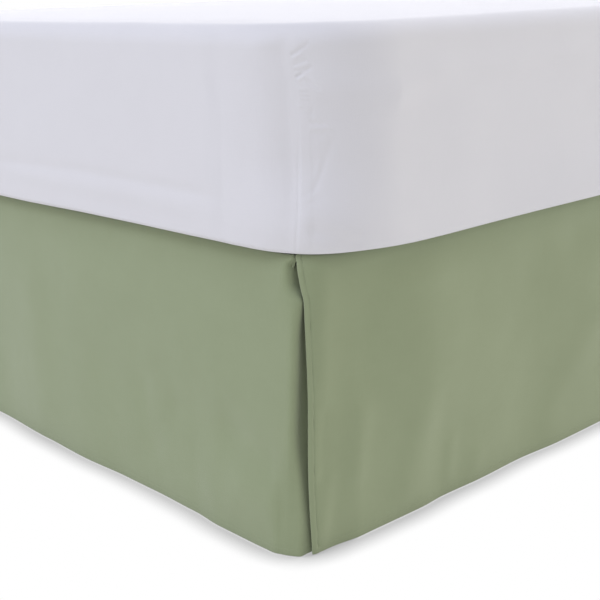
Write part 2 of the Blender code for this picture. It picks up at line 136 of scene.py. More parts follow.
RIGHT_FOLDS = [
    Fold(0.024, 0.215, 0.031, 0.110, 0.0095, 0.0013),
    Fold(0.031, 0.110, 0.037, 0.012, 0.0095, 0.0013),
    Fold(0.041, 0.185, 0.040, 0.100, 0.0080, -0.0013),
    Fold(0.050, 0.100, 0.043, 0.020, 0.0090, 0.0015),
    Fold(0.098, 0.165, 0.084, 0.095, 0.019, 0.0022),
    Fold(0.084, 0.095, 0.058, 0.014, 0.026, 0.0013),
    Fold(0.206, 0.125, 0.186, 0.040, 0.030, 0.0034),
    Fold(0.272, 0.074, 0.270, 0.030, 0.015, 0.0016),
    Fold(0.330, 0.036, 0.326, 0.012, 0.016, 0.0016),
    Fold(0.205, 0.345, 0.240, 0.200, 0.085, 0.0105),
    Fold(0.085, 0.300, 0.090, 0.230, 0.045, -0.0030),
    Fold(0.470, 0.270, 0.500, 0.090, 0.080, -0.0050),
    Fold(0.625, 0.190, 0.505, 0.046, 0.034, 0.0022),
    Fold(0.560, 0.330, 0.700, 0.330, 0.040, -0.0040),
    Fold(0.760, 0.240, 0.730, 0.020, 0.050, 0.0036),
    Fold(0.900, 0.300, 0.940, 0.040, 0.060, -0.0034),
    Fold(1.090, 0.200, 1.060, 0.010, 0.045, 0.0038),
    Fold(1.280, 0.320, 1.240, 0.060, 0.055, -0.0030),
    Fold(1.450, 0.220, 1.480, 0.010, 0.040, 0.0034),
    Fold(1.680, 0.280, 1.640, 0.030, 0.060, -0.0034),
    Fold(1.860, 0.220, 1.880, 0.010, 0.045, 0.0030),
]
LEFT_FOLDS = [
    Fold(0.080, 0.180, 0.070, 0.010, 0.018, 0.0026),
    Fold(0.135, 0.210, 0.120, 0.020, 0.022, -0.0026),
    Fold(0.200, 0.150, 0.215, 0.010, 0.026, 0.0026),
    Fold(0.390, 0.300, 0.350, 0.080, 0.070, -0.0028),
    Fold(0.560, 0.240, 0.590, 0.020, 0.050, 0.0028),
    Fold(0.790, 0.300, 0.760, 0.040, 0.060, -0.0024),
    Fold(0.990, 0.210, 1.020, 0.010, 0.045, 0.0030),
    Fold(1.210, 0.310, 1.180, 0.050, 0.060, -0.0026),
    Fold(1.420, 0.230, 1.400, 0.010, 0.045, 0.0024),
    Fold(1.630, 0.280, 1.670, 0.030, 0.055, -0.0024),
    Fold(1.840, 0.220, 1.820, 0.010, 0.045, 0.0026),
]

# ---- how the foot panel turns in behind a side panel at a split --------------------------
# places are (in across, in along) from the corner: beside the hollow at the split's top, where
# the split is deep, and at the hem; the lip angle is where the column is sewn to the deck
Turn = namedtuple("Turn", "hollow deep hem lip_angle")
TURN = [
    Turn((0.0390, 0.0000), (0.0385, 0.0000), (0.0382, 0.0010), 8.5),
    Turn((0.0354, 0.0009), (0.0300, 0.0001), (0.0332, 0.0026), 15.5),
    Turn((0.0333, 0.0025), (0.0242, 0.0005), (0.0284, 0.0046), 20.5),
    Turn((0.0320, 0.0045), (0.0202, 0.0014), (0.0240, 0.0067), 25.0),
    Turn((0.0310, 0.0069), (0.0178, 0.0029), (0.0200, 0.0090), 29.0),
    Turn((0.0302, 0.0095), (0.0166, 0.0049), (0.0163, 0.0113), 32.0),
    Turn((0.0297, 0.0121), (0.0162, 0.0075), (0.0128, 0.0135), None),
    Turn((0.0294, 0.0148), (0.0166, 0.0106), (0.0099, 0.0156), None),
    Turn((0.0290, 0.0178), (0.0177, 0.0141), (0.0083, 0.0180), None),
    Turn((0.0281, 0.0214), (0.0191, 0.0178), (0.0080, 0.0211), None),
    Turn((0.0265, 0.0255), (0.0202, 0.0218), (0.0084, 0.0246), None),
    Turn((0.0238, 0.0300), (0.0203, 0.0263), (0.0087, 0.0288), None),
    Turn((0.0192, 0.0360), (0.0186, 0.0320), (0.0082, 0.0371), None),
    Turn((0.0126, 0.0460), (0.0128, 0.0440), (0.0064, 0.0480), None),
    Turn((0.0066, 0.0610), (0.0062, 0.0610), (0.0046, 0.0620), None),
    Turn((0.0064, 0.0850), (0.0048, 0.0850), (0.0042, 0.0850), None),
]
Share = namedtuple("Share", "up share")
# the share of the hollow's places in a column
HOLLOW = [Share(0.316, 0.00), Share(0.329, 0.05), Share(0.336, 0.25), Share(0.343, 0.70),
          Share(0.350, 0.86), Share(0.358, 0.93), Share(0.367, 1.00), Share(0.3745, 1.00)]
# the share of the hem's places in a column, with a small part again near the top
SPLIT_CLOSED = [Share(0.000, 1.00), Share(0.035, 1.00), Share(0.055, 0.94), Share(0.076, 0.77),
                Share(0.103, 0.57), Share(0.130, 0.29), Share(0.150, 0.10), Share(0.168, 0.00),
                Share(0.290, 0.00), Share(0.312, 0.14), Share(0.332, 0.36), Share(0.343, 0.10),
                Share(0.352, 0.00)]
TAIL_TOP = 0.3735
LIP_BLEND = (0.009, 0.002)   # under the sewn top: where the turn starts and ends to close
FOLD_CORNER_FADE = (0.020, 0.060)
CORNER_SHIFT_REACH = 0.090
Crest = namedtuple("Crest", "run rise")
CREST = [                    # how the shoulder stands above the deck, by the run round a corner
    Crest(-0.700, 0.0018), Crest(-0.500, 0.0022), Crest(-0.360, 0.0038), Crest(-0.250, 0.0050),
    Crest(-0.060, 0.0052), Crest(0.000, 0.0062), Crest(0.035, 0.0068), Crest(0.060, 0.0050),
    Crest(0.090, 0.0022), Crest(0.160, 0.0000),
]
CREST_LEFT = 0.0020          # the most that it stands up on the left, where the cover is lower

# ---- where a side panel's split edge stands on the corner's arc --------------------------
# measured on the photo's edge through the fitted camera and then adjusted
Split = namedtuple("Split", "up angle")
SPLIT_EDGE = [
    Split(0.000, 73.0), Split(0.050, 67.4), Split(0.077, 65.0), Split(0.104, 62.6),
    Split(0.130, 61.3), Split(0.170, 59.8), Split(0.210, 58.2), Split(0.240, 56.3),
    Split(0.270, 53.5), Split(0.308, 49.8), Split(0.333, 47.6), Split(0.345, 43.2),
    Split(0.357, 39.8), Split(0.367, 37.0), Split(0.3745, 34.8), Split(0.3780, 32.4),
    Split(0.3800, 31.4), Split(0.3803, 33.4),
]
EDGE_SPREAD = 0.200          # how far from the split edge the columns lean with it

# ---- hems and stitching ------------------------------------------------------------------
SIDE_HEM = 0.0063            # from the split edge to its line of stitches
BOTTOM_HEM = 0.0090
HEM_RISE = 0.00045           # how proud the doubled cloth of a hem stands
HEM_SOFTNESS = 0.0022
HEM_SWELL = 0.00035          # its middle, between its edge and its stitches
STITCH_GROOVE = 0.00085
STITCH_GROOVE_WIDTH = 0.0010
PUCKER = 0.00034
PUCKER_WAVES = (0.006, 0.022)           # the shortest and the longest
BOTTOM_HEM_SHARE = 0.28      # the bottom hem's relief as a share of a side hem's
STITCH_LENGTH = 0.0026
STITCH_PITCH = 0.0034
STITCH_RADIUS = 0.00024
HEM_ROWS = [0.0, 0.0010, 0.0025, 0.0045, 0.0063, 0.0075, 0.0083, 0.0090, 0.0097, 0.0105,
            0.0120, 0.0145, 0.0180, 0.0220]
HEM_COLUMNS = [0.0, 0.0008, 0.0018, 0.0030, 0.0042, 0.0051, 0.0057, 0.0063, 0.0069, 0.0076,
               0.0088, 0.0105, 0.0130]

# ---- how finely the cloth is cut ---------------------------------------------------------
ROW_STEP = 0.0055
ROLL_STEPS = 14
LIP_STEPS = 4
RIM_STEPS = 4
CORNER_SPLITS = 5            # fine columns to one column of the turn
STRAIGHT_ROWS = 3            # rows below the roll from which the fine columns run straight
# columns in stretches (where it ends, its step): across the foot, and from a side's split edge
FOOT_STRETCHES = [(-0.30, 0.0075), (0.20, 0.0055), (HALF_X - CORNER_RADIUS, 0.0040)]
SIDE_STRETCHES = [(0.30, 0.0035), (0.80, 0.0060)]
SIDE_LAST_STEP = 0.0080
CLOTH_RIPPLE = (0.030, 0.150, 0.00022)  # its shortest and longest wave, and its height
CLOTH_RIPPLE_FADE = (0.0, 0.03)         # from a hem
FOOT_SEED = 11
CAP_INNERMOST = 0.03         # the innermost ring of a cap, as a share of its outline

# ---- camera and stage --------------------------------------------------------------------
FRAME_PIXELS = 600
FOCAL_PIXELS = 1148.4
SENSOR = 36.0
CAMERA_FROM_CORNER = Vector((0.9416, -0.8719, 0.6950))   # from the skirt's corner on the floor
CAMERA_YAW = math.radians(-47.42)
CAMERA_PITCH = math.radians(-15.50)
CAMERA_ROLL = math.radians(-1.65)


# ==== numbers =============================================================================

def smooth_step(value, low, high):
    """0 at low and 1 at high, eased at both ends."""
    t = np.clip((np.asarray(value, float) - low) / (high - low), 0.0, 1.0)
    return t * t * (3.0 - 2.0 * t)


def from_table(rows, place, column=1):
    """A column of a table at places in its first column, straight between its rows."""
    return np.interp(place, [row[0] for row in rows], [row[column] for row in rows])


def hem_out(rows, along):
    """The hem's distance from plumb, eased from one row of the table to the next."""
    along = np.asarray(along, float)
    out = np.full(along.shape, rows[0].out)
    for low, high in zip(rows, rows[1:]):
        eased = low.out + (high.out - low.out) * smooth_step(along, low.along, high.along)
        out = np.where(along > low.along, eased, out)
    return out


def stroke_sum(folds, along, up):
    """The sum of soft strokes from point to point, at arrays of places."""
    out = np.zeros(np.broadcast(along, up).shape)
    for fold in folds:
        run_along = fold.to_along - fold.from_along
        run_up = fold.to_up - fold.from_up
        share = (along - fold.from_along) * run_along + (up - fold.from_up) * run_up
        share = np.clip(share / (run_along ** 2 + run_up ** 2), 0.0, 1.0)
        off_along = along - fold.from_along - share * run_along
        off_up = up - fold.from_up - share * run_up
        out += fold.rise * np.exp(-(off_along ** 2 + off_up ** 2) / fold.half_width ** 2)
    return out


def fold_out(folds, along, up):
    """A panel's folds, faded under its sewn top and at its hem."""
    fade = smooth_step(LIP_TOP - up, *FOLD_FADE) * smooth_step(up, *FOLD_HEM)
    return stroke_sum(folds, along, up) * fade


def ripples(seed, along, up, shortest, longest, height, count=26):
    """Seeded soft unevenness: the sum of many small waves at random angles."""
    draw = random.Random(seed)
    total = np.zeros(np.broadcast(along, up).shape)
    for _ in range(count):
        length = shortest * (longest / shortest) ** draw.random()
        heading = draw.uniform(0.0, math.pi)
        phase = draw.uniform(0.0, math.tau)
        travel = along * math.cos(heading) + up * math.sin(heading)
        total += (length / longest) * np.sin(travel * math.tau / length + phase)
    return total * height / math.sqrt(count / 2)


def stepped(start, end, step):
    """Even places from start to end, about a step apart."""
    count = max(1, round((end - start) / step))
    return np.linspace(start, end, count + 1)


def graded(start, stretches):
    """Places from start on, where each stretch is (its end, its step)."""
    places = [np.array([start])]
    for end, step in stretches:
        places.append(stepped(start, end, step)[1:])
        start = end
    return np.concatenate(places)


def travel_along(path):
    """The length of a path of points, from its start to each of them."""
    return np.concatenate([[0.0], np.cumsum(np.linalg.norm(np.diff(path, axis=0), axis=1))])


# ==== meshes ==============================================================================

def linked(name, data):
    """A new object of this data in the scene."""
    obj = bpy.data.objects.new(name, data)
    bpy.context.scene.collection.objects.link(obj)
    return obj


def new_object(name, points, faces, material, places=None):
    """A smooth-shaded object; places are the points' positions on the flat cloth."""
    mesh = bpy.data.meshes.new(name)
    mesh.from_pydata(np.asarray(points).tolist(), [], faces)
    mesh.shade_smooth()
    if places is not None:
        attribute = mesh.attributes.new("cloth_place", "FLOAT_VECTOR", "POINT")
        attribute.data.foreach_set("vector", np.asarray(places, np.float32).ravel())
    mesh.materials.append(material)
    obj = linked(name, mesh)
    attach(obj, "root")
    return obj


def normals_of(grid):
    """Outward directions on a grid of points that runs (columns, rows)."""
    across = np.gradient(grid, axis=0)
    up = np.gradient(grid, axis=1)
    normals = np.cross(across, up)
    return normals / np.linalg.norm(normals, axis=2, keepdims=True)


def rim_order(columns, rows):
    """The border of a grid, anticlockwise seen from its outer side, as (column, row)."""
    order = [(i, 0) for i in range(columns)]
    order += [(columns - 1, j) for j in range(1, rows)]
    order += [(i, rows - 1) for i in range(columns - 2, -1, -1)]
    order += [(0, j) for j in range(rows - 2, 0, -1)]
    return order


def cloth_object(name, grid, relief, places, material):
    """A closed sheet of cloth behind a grid of outer points, with a rounded rim."""
    columns, rows = grid.shape[:2]
    normals = normals_of(grid)
    front = grid + normals * relief[..., None]
    back = grid - normals * CLOTH
    ids = np.arange(columns * rows).reshape(columns, rows)
    count = columns * rows
    corners = (ids[:-1, :-1], ids[1:, :-1], ids[1:, 1:], ids[:-1, 1:])
    quads = np.stack([part.ravel() for part in corners], axis=1)
    faces = quads.tolist() + (quads[:, ::-1] + count).tolist()

    order = rim_order(columns, rows)
    at = (np.array([i for i, j in order]), np.array([j for i, j in order]))
    across = np.gradient(grid, axis=0)[at]
    up = np.gradient(grid, axis=1)[at]
    across /= np.linalg.norm(across, axis=1, keepdims=True)
    up /= np.linalg.norm(up, axis=1, keepdims=True)
    to_side = (at[0] == columns - 1).astype(float) - (at[0] == 0)
    to_top = (at[1] == rows - 1).astype(float) - (at[1] == 0)
    outward = across * to_side[:, None] + up * to_top[:, None]
    outward /= np.linalg.norm(outward, axis=1, keepdims=True)
    middle = (front[at] + back[at]) / 2
    half = (front[at] - back[at]) / 2
    reach = np.linalg.norm(half, axis=1, keepdims=True)
    rings = [ids[at]]
    points = [front.reshape(-1, 3), back.reshape(-1, 3)]
    flat = [places.reshape(-1, 3), places.reshape(-1, 3)]
    for step in range(1, RIM_STEPS):
        turn = math.pi * step / RIM_STEPS
        points.append(middle + half * math.cos(turn) + outward * reach * math.sin(turn))
        flat.append(places[at])
        rings.append(2 * count + (step - 1) * len(order) + np.arange(len(order)))
    rings.append(ids[at] + count)
    for ring, after in zip(rings, rings[1:]):
        ahead, after_ahead = np.roll(ring, -1), np.roll(after, -1)
        faces += np.stack([ahead, ring, after, after_ahead], axis=1).tolist()
    return new_object(name, np.concatenate(points), faces, material, np.concatenate(flat))


STITCH_RINGS = ((0.0, 0.0), (0.14, 0.80), (0.50, 1.0), (0.86, 0.80), (1.0, 0.0))
STITCH_SIDES = 6


def stitch_line(path, normals):
    """Threads lying one after another on a path: (points, faces)."""
    lengths = travel_along(path)

    def on_path(travel, values):
        return np.stack([np.interp(travel, lengths, values[:, k]) for k in range(3)], axis=-1)

    points, faces = [], []
    for begin in np.arange(STITCH_PITCH, lengths[-1] - STITCH_PITCH, STITCH_PITCH):
        first, last = on_path(np.array([begin, begin + STITCH_LENGTH]), path)
        outward = on_path(np.array([begin]), normals)[0]
        forward = last - first
        size = np.linalg.norm(forward)
        forward /= size
        outward -= forward * outward.dot(forward)
        outward /= np.linalg.norm(outward)
        across = np.cross(forward, outward)
        base = len(points)
        for share, wide in STITCH_RINGS:
            middle = first + forward * size * share + outward * STITCH_RADIUS * (0.6 * wide - 0.5)
            if wide == 0.0:
                points.append(middle)
                continue
            for k in range(STITCH_SIDES):
                turn = math.tau * k / STITCH_SIDES
                away = across * math.cos(turn) + outward * math.sin(turn)
                points.append(middle + away * STITCH_RADIUS * wide)
        rings = [base + 1 + STITCH_SIDES * k for k in range(len(STITCH_RINGS) - 2)]
        end = len(points) - 1
        for k in range(STITCH_SIDES):
            after = (k + 1) % STITCH_SIDES
            faces.append((base, rings[0] + after, rings[0] + k))
            faces.append((end, rings[-1] + k, rings[-1] + after))
            for low, high in zip(rings, rings[1:]):
                faces.append((low + k, low + after, high + after, high + k))
    return points, faces


def stitching(name, lines, material):
    """One object from several lines of stitches, each (path, normals)."""
    points, faces = [], []
    for path, normals in lines:
        new_points, new_faces = stitch_line(path, normals)
        faces += [tuple(len(points) + index for index in face) for face in new_faces]
        points += new_points
    return new_object(name, points, faces, material)


# ==== materials ===========================================================================

def material(name):
    """A new material and a small helper that adds nodes to it."""
    made = bpy.data.materials.new(name)
    made.use_nodes = True
    tree = made.node_tree

    def node(kind, inputs=None, **settings):
        new = tree.nodes.new(kind)
        for key, value in settings.items():
            setattr(new, key, value)
        for key, value in (inputs or {}).items():
            if isinstance(value, bpy.types.NodeSocket):
                tree.links.new(value, new.inputs[key])
            else:
                new.inputs[key].default_value = value
        return new

    return made, tree.nodes["Principled BSDF"], node, tree.links


def weave_height(node, place, pitch):
    """A plain weave's relief: threads over and under each other."""
    parts = node("ShaderNodeSeparateXYZ", {"Vector": place})
    waves = []
    for axis in ("X", "Y"):
        turns = node("ShaderNodeMath", {0: parts.outputs[axis], 1: math.pi / pitch},
                     operation="MULTIPLY")
        waves.append(node("ShaderNodeMath", {0: turns.outputs[0]}, operation="SINE"))
    return node("ShaderNodeMath", {0: waves[0].outputs[0], 1: waves[1].outputs[0]},
                operation="MULTIPLY").outputs[0]


def thread_noise(node, place, stretch, scale):
    """Uneven yarn: noise drawn out along one direction of the cloth."""
    drawn = node("ShaderNodeMapping", {"Vector": place, "Scale": stretch})
    return node("ShaderNodeTexNoise", {"Vector": drawn.outputs["Vector"], "Scale": scale,
                                       "Detail": 3.0, "Roughness": 0.55}).outputs["Fac"]


def cloth_material(name, colour, deep_colour, pitch, slub=0.5, roughness=0.88, sheen=0.25):
    """Woven cloth: a fine weave, uneven yarn and soft blotches of a deeper shade."""
    made, shader, node, links = material(name)
    place = node("ShaderNodeAttribute", attribute_name="cloth_place").outputs["Vector"]
    warp = thread_noise(node, place, (1.0, 0.06, 1.0), 620.0)
    weft = thread_noise(node, place, (0.06, 1.0, 1.0), 620.0)
    yarn = node("ShaderNodeMath", {0: warp, 1: weft}, operation="ADD").outputs[0]
    blotch = node("ShaderNodeTexNoise", {"Vector": place, "Scale": 14.0, "Detail": 4.0,
                                         "Roughness": 0.6}).outputs["Fac"]
    mixed = node("ShaderNodeMath", {0: yarn, 1: slub, 2: blotch}, operation="MULTIPLY_ADD")
    shade = node("ShaderNodeMapRange", {"Value": mixed.outputs[0], "From Min": 0.2 + slub * 0.7,
                                        "From Max": 0.8 + slub * 1.3}).outputs["Result"]
    ramp = node("ShaderNodeMix", {"Factor": shade, "A": (*deep_colour, 1.0), "B": (*colour, 1.0)},
                data_type="RGBA")
    links.new(ramp.outputs[2], shader.inputs["Base Color"])
    fine = node("ShaderNodeBump", {"Height": weave_height(node, place, pitch),
                                   "Strength": 0.35, "Distance": pitch * 0.25})
    uneven = node("ShaderNodeBump", {"Height": yarn, "Strength": 0.25, "Distance": 0.0004,
                                     "Normal": fine.outputs["Normal"]})
    links.new(uneven.outputs["Normal"], shader.inputs["Normal"])
    shader.inputs["Roughness"].default_value = roughness
    shader.inputs["Sheen Weight"].default_value = sheen
    shader.inputs["Sheen Roughness"].default_value = 0.5
    shader.inputs["Specular IOR Level"].default_value = 0.25
    return made


def thread_material(name, colour):
    """Sewing thread: twisted, a little glossier than the cloth."""
    made, shader, node, links = material(name)
    place = node("ShaderNodeTexCoord").outputs["Object"]
    twist = node("ShaderNodeTexNoise", {"Vector": place, "Scale": 2600.0, "Detail": 2.0})
    shade = node("ShaderNodeMix", {"Factor": twist.outputs["Fac"],
                                   "A": (*[c * 0.82 for c in colour], 1.0), "B": (*colour, 1.0)},
                 data_type="RGBA")
    links.new(shade.outputs[2], shader.inputs["Base Color"])
    shader.inputs["Roughness"].default_value = 0.6
    return made


def wood_material(name):
    """Brown lacquered beech, its grain running up the leg."""
    made, shader, node, links = material(name)
    place = node("ShaderNodeTexCoord").outputs["Object"]
    drawn = node("ShaderNodeMapping", {"Vector": place, "Scale": (1.0, 1.0, 0.08)})
    grain = node("ShaderNodeTexNoise", {"Vector": drawn.outputs["Vector"], "Scale": 260.0,
                                        "Detail": 6.0, "Roughness": 0.65}).outputs["Fac"]
    broad = node("ShaderNodeTexNoise", {"Vector": drawn.outputs["Vector"], "Scale": 40.0,
                                        "Detail": 2.0}).outputs["Fac"]
    both = node("ShaderNodeMath", {0: grain, 1: 0.6, 2: broad}, operation="MULTIPLY_ADD")
    shade = node("ShaderNodeMapRange", {"Value": both.outputs[0], "From Min": 0.5,
                                        "From Max": 1.1}).outputs["Result"]
    colour = node("ShaderNodeMix", {"Factor": shade, "A": (0.17, 0.085, 0.040, 1.0),
                                    "B": (0.34, 0.19, 0.10, 1.0)}, data_type="RGBA")
    links.new(colour.outputs[2], shader.inputs["Base Color"])
    bump = node("ShaderNodeBump", {"Height": grain, "Strength": 0.2, "Distance": 0.0003})
    links.new(bump.outputs["Normal"], shader.inputs["Normal"])
    shader.inputs["Roughness"].default_value = 0.38
    shader.inputs["Coat Weight"].default_value = 0.25
    return made


# the floor's painted contact shadow: how far it reaches, and how ambient occlusion maps to the
# floor's glow
CONTACT_SHADOW_REACH = 0.045
PAINTED_CONTACT_SHADOW = {"From Min": 0.45, "From Max": 0.94, "To Min": 0.45, "To Max": 1.0}


def floor_material():
    """A light table: an evenly glowing white floor, with a painted contact shadow that dims its glow
    only where something is close to it.
    """
    made, shader, node, links = material("studio_floor")
    # painted contact shadow: ambient occlusion near the bed darkens the floor's emission
    near = node("ShaderNodeAmbientOcclusion", {"Distance": CONTACT_SHADOW_REACH}, samples=16)
    shade = node("ShaderNodeMapRange", {"Value": near.outputs["AO"], **PAINTED_CONTACT_SHADOW})
    links.new(shade.outputs["Result"], shader.inputs["Emission Strength"])
    shader.inputs["Emission Color"].default_value = (1.0, 1.0, 1.0, 1.0)
    shader.inputs["Base Color"].default_value = (0.0, 0.0, 0.0, 1.0)
    shader.inputs["Roughness"].default_value = 1.0
    shader.inputs["Specular IOR Level"].default_value = 0.0
    return made


SKIRT_CLOTH = cloth_material("skirt_cloth", (0.267, 0.309, 0.188), (0.245, 0.285, 0.170), 0.00045)
SKIRT_THREAD = thread_material("skirt_thread", (0.240, 0.278, 0.180))
COVER_CLOTH = cloth_material("mattress_cover", (0.66, 0.65, 0.685), (0.64, 0.63, 0.665), 0.00040,
                             slub=0.4, roughness=0.9, sheen=0.15)
TICKING = cloth_material("foundation_cover", (0.60, 0.59, 0.56), (0.56, 0.55, 0.52), 0.00070)
WOOD = wood_material("leg_wood")


# ==== the skirt ===========================================================================

def corner_shift(side, in_x, in_y, along):
    """How far the hem stands from plumb across and along the bed; both panels share it."""
    rows = RIGHT_HEM if side > 0 else LEFT_HEM
    shared_x = 1.0 - smooth_step(in_x, CORNER_RADIUS / 2, CORNER_SHIFT_REACH)
    shared_y = 1.0 - smooth_step(in_y, CORNER_RADIUS / 2, CORNER_SHIFT_REACH)
    return side * shared_x * hem_out(rows, in_y), -shared_y * hem_out(FOOT_HEM, along)


def on_outline(run):
    """Inside distances and outward direction on a corner; run 0 is the arc's foot end."""
    turn = np.clip(run / CORNER_RADIUS, 0.0, math.pi / 2)
    in_x = CORNER_RADIUS * (1.0 - np.sin(turn)) + np.maximum(-run, 0.0)
    past = run - CORNER_RADIUS * math.pi / 2
    in_y = CORNER_RADIUS * (1.0 - np.cos(turn)) + np.maximum(past, 0.0)
    return in_x, in_y, np.sin(turn), -np.cos(turn)


def profile_rows():
    """A panel's section from hem to lip: how far in from the outer face, and height."""
    hem = HEM_UP + np.array(HEM_ROWS)
    heights = np.concatenate([hem, stepped(hem[-1], ROLL_START, ROW_STEP)[1:]])
    turn = np.linspace(0.0, math.pi / 2, ROLL_STEPS + 1)[1:]
    inward = np.concatenate([np.zeros(len(heights)), SHOULDER_IN * (1.0 - np.cos(turn)),
                             np.linspace(SHOULDER_IN, LIP_REACH, LIP_STEPS + 1)[1:]])
    up = np.concatenate([heights, ROLL_START + SHOULDER_DOWN * np.sin(turn),
                         np.full(LIP_STEPS, LIP_TOP)])
    return inward, up


def tail_rows():
    """As many rows for the tail: the same up to the roll, then on to its top without one."""
    rolled = ROLL_STEPS + LIP_STEPS
    heights = profile_rows()[1][:-rolled]
    up = np.concatenate([heights, np.linspace(ROLL_START, TAIL_TOP, rolled + 1)[1:]])
    return np.zeros(len(up)), up


def hang_share(up):
    """0 at the sewn top, 1 at the hem."""
    return np.clip((LIP_TOP - up) / DROP, 0.0, 1.0)


def placed(side, in_x, in_y, out, out_x, out_y, along, up):
    """Points of a panel in the row frame."""
    shift_x, shift_y = corner_shift(side, in_x, in_y, along)
    x = side * (HALF_X - in_x) + out * out_x + shift_x * hang_share(up)
    y = in_y - HALF_Y + out * out_y + shift_y * hang_share(up)
    return np.stack([x + BED.x, y + BED.y, up + 0.0 * x], axis=-1)


def hem_relief(distance, width, along, seed, sewn=1.0, height=1.0):
    """The relief of a turned hem at a distance from its edge, puckered where it is sewn."""
    raised = HEM_RISE * (1.0 - smooth_step(distance, width, width + HEM_SOFTNESS))
    raised = raised + HEM_SWELL * np.exp(-((distance - width / 2) / (width / 3)) ** 2)
    near = np.exp(-((distance - width) / STITCH_GROOVE_WIDTH) ** 2)
    wide = np.exp(-((distance - width) / (5 * STITCH_GROOVE_WIDTH)) ** 2)
    pucker = ripples(seed, along, 0.0, *PUCKER_WAVES, PUCKER)
    return height * (raised + (pucker * wide - STITCH_GROOVE * near) * sewn)


def sewn_from(distance, width):
    """A line of stitches only begins where it meets another hem's."""
    return smooth_step(distance, width - 0.002, width - 0.0005)


# one column of the foot panel: its places beside the hollow, where the split is deep, at the
# hem and at the sewn edge, its outward direction on a right-hand corner, its run on the
# corner's outline, and whether it is on the tail
Column = namedtuple("Column", "hollow deep hem lip outward run tail")


def corner_columns():
    """The foot panel's columns round a corner, from its face to the end of its tail."""
    columns = []
    for row in TURN:
        if row.lip_angle is None:
            run = CORNER_RADIUS * math.pi / 4
            columns.append(Column(*row[:3], row.hollow, (1.0, 0.0), run, True))
        else:
            run = CORNER_RADIUS * math.radians(row.lip_angle)
            on_arc = on_outline(run)
            columns.append(Column(*row[:3], on_arc[:2], on_arc[2:], run, False))
    return columns


def corner_push(run, up, inward):
    """How far out, or in below 0, a panel's shoulder stands on the corner."""
    on_corner = np.exp(-((run - CORNER_RADIUS * math.pi / 4) / CORNER_PUSH_RUN) ** 2)
    rising = smooth_step(up, LIP_TOP - CORNER_PUSH_DOWN, LIP_TOP)
    return CORNER_PUSH * on_corner * rising * (1.0 - inward / LIP_REACH)


def crest(side, run, inward, up, beneath=0.0):
    """How far a panel's shoulder stands above its plain rounding, less what it lies beneath."""
    rise = from_table(CREST, run)
    if side < 0:
        rise = np.minimum(rise, CREST_LEFT)
    climbing = np.clip((up - ROLL_START) / SHOULDER_DOWN, 0.0, 1.0)
    return (rise - beneath) * climbing * (1.0 - smooth_step(inward, SHOULDER_IN, CREST_REACH))


def foot_column(side, column):
    """The foot panel's points from hem to lip, or to the tail's top, on one column."""
    along = HALF_X - side * (HALF_X - column.deep[0])
    face = smooth_step(column.deep[0], *FOLD_CORNER_FADE)
    inward, up = tail_rows() if column.tail else profile_rows()
    at_lip = smooth_step(up, LIP_TOP - LIP_BLEND[0], LIP_TOP - LIP_BLEND[1])
    inside = []
    for hollow, deep, hem, lip in zip(column.hollow, column.deep, column.hem, column.lip):
        place = deep + (hollow - deep) * from_table(HOLLOW, up)
        place = place + (hem - place) * from_table(SPLIT_CLOSED, up)
        inside.append(place + (lip - place) * at_lip)
    beneath = LAP_IN * smooth_step(column.run, *LAP_RUN)
    out = fold_out(FOOT_FOLDS, along, up) * face - inward
    out = out + corner_push(column.run, up, inward)
    out = out - beneath * smooth_step(up, *LAP_UP)
    points = placed(side, *inside, out, side * column.outward[0], column.outward[1], along, up)
    if not column.tail:
        points[:, 2] += crest(side, column.run, inward, up, beneath)
    return points


def refined(columns, splits, straight_from):
    """Fine columns along smooth curves through coarse ones, straight above one row."""
    fine = []
    last = len(columns) - 1
    for k in range(1, last):
        before, start, end = columns[k - 1:k + 2]
        after = columns[min(k + 2, last)]
        for step in range(splits):
            t = step / splits
            curve = 0.5 * (2 * start + (end - before) * t
                           + (2 * before - 5 * start + 4 * end - after) * t ** 2
                           + (3 * start - before - 3 * end + after) * t ** 3)
            line = start + (end - start) * t
            curve[straight_from:] = line[straight_from:]
            fine.append(curve)
    fine.append(columns[last])
    return fine


def heights_on(grid):
    """How far up the cloth each point of a panel is from the hem."""
    return np.stack([travel_along(column) for column in grid])


def foot_face():
    """The foot panel's columns between its two corners."""
    face = []
    for x in graded(CORNER_RADIUS - HALF_X, FOOT_STRETCHES):
        place = (HALF_X - abs(x), 0.0)
        side = math.copysign(1.0, x)
        run = CORNER_RADIUS - place[0]
        column = Column(*[place] * 4, (0.0, -1.0), run, False)
        face.append(foot_column(side, column))
    return face


def foot_panel():
    """The foot panel, from the end of its left tail to the end of its right one."""
    face = foot_face()
    roll_row = len(profile_rows()[1]) - LIP_STEPS - ROLL_STEPS - STRAIGHT_ROWS
    right = [foot_column(1.0, column) for column in corner_columns()]
    left = [foot_column(-1.0, column) for column in corner_columns()]
    right = refined(face[-2:] + right, CORNER_SPLITS, roll_row)[1:]
    left = refined([face[1], face[0]] + left, CORNER_SPLITS, roll_row)[1:]
    grid = np.stack(left[::-1] + face + right)

    travel = travel_along(grid[:, 0])[:, None]
    height = heights_on(grid)
    relief = hem_relief(height, BOTTOM_HEM, travel, FOOT_SEED, height=BOTTOM_HEM_SHARE)
    soft = ripples(FOOT_SEED + 1, travel, grid[..., 2], *CLOTH_RIPPLE)
    relief += soft * smooth_step(height, *CLOTH_RIPPLE_FADE)
    places = np.stack([travel + 0.0 * height, height, 0.0 * height], axis=-1)
    cloth = cloth_object("foot_panel_cloth", grid, relief, places, SKIRT_CLOTH)
    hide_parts("panel_foot")
    stitch_row = HEM_ROWS.index(BOTTOM_HEM)
    finish_panel("foot_panel_stitching", grid, [(slice(None), stitch_row)])


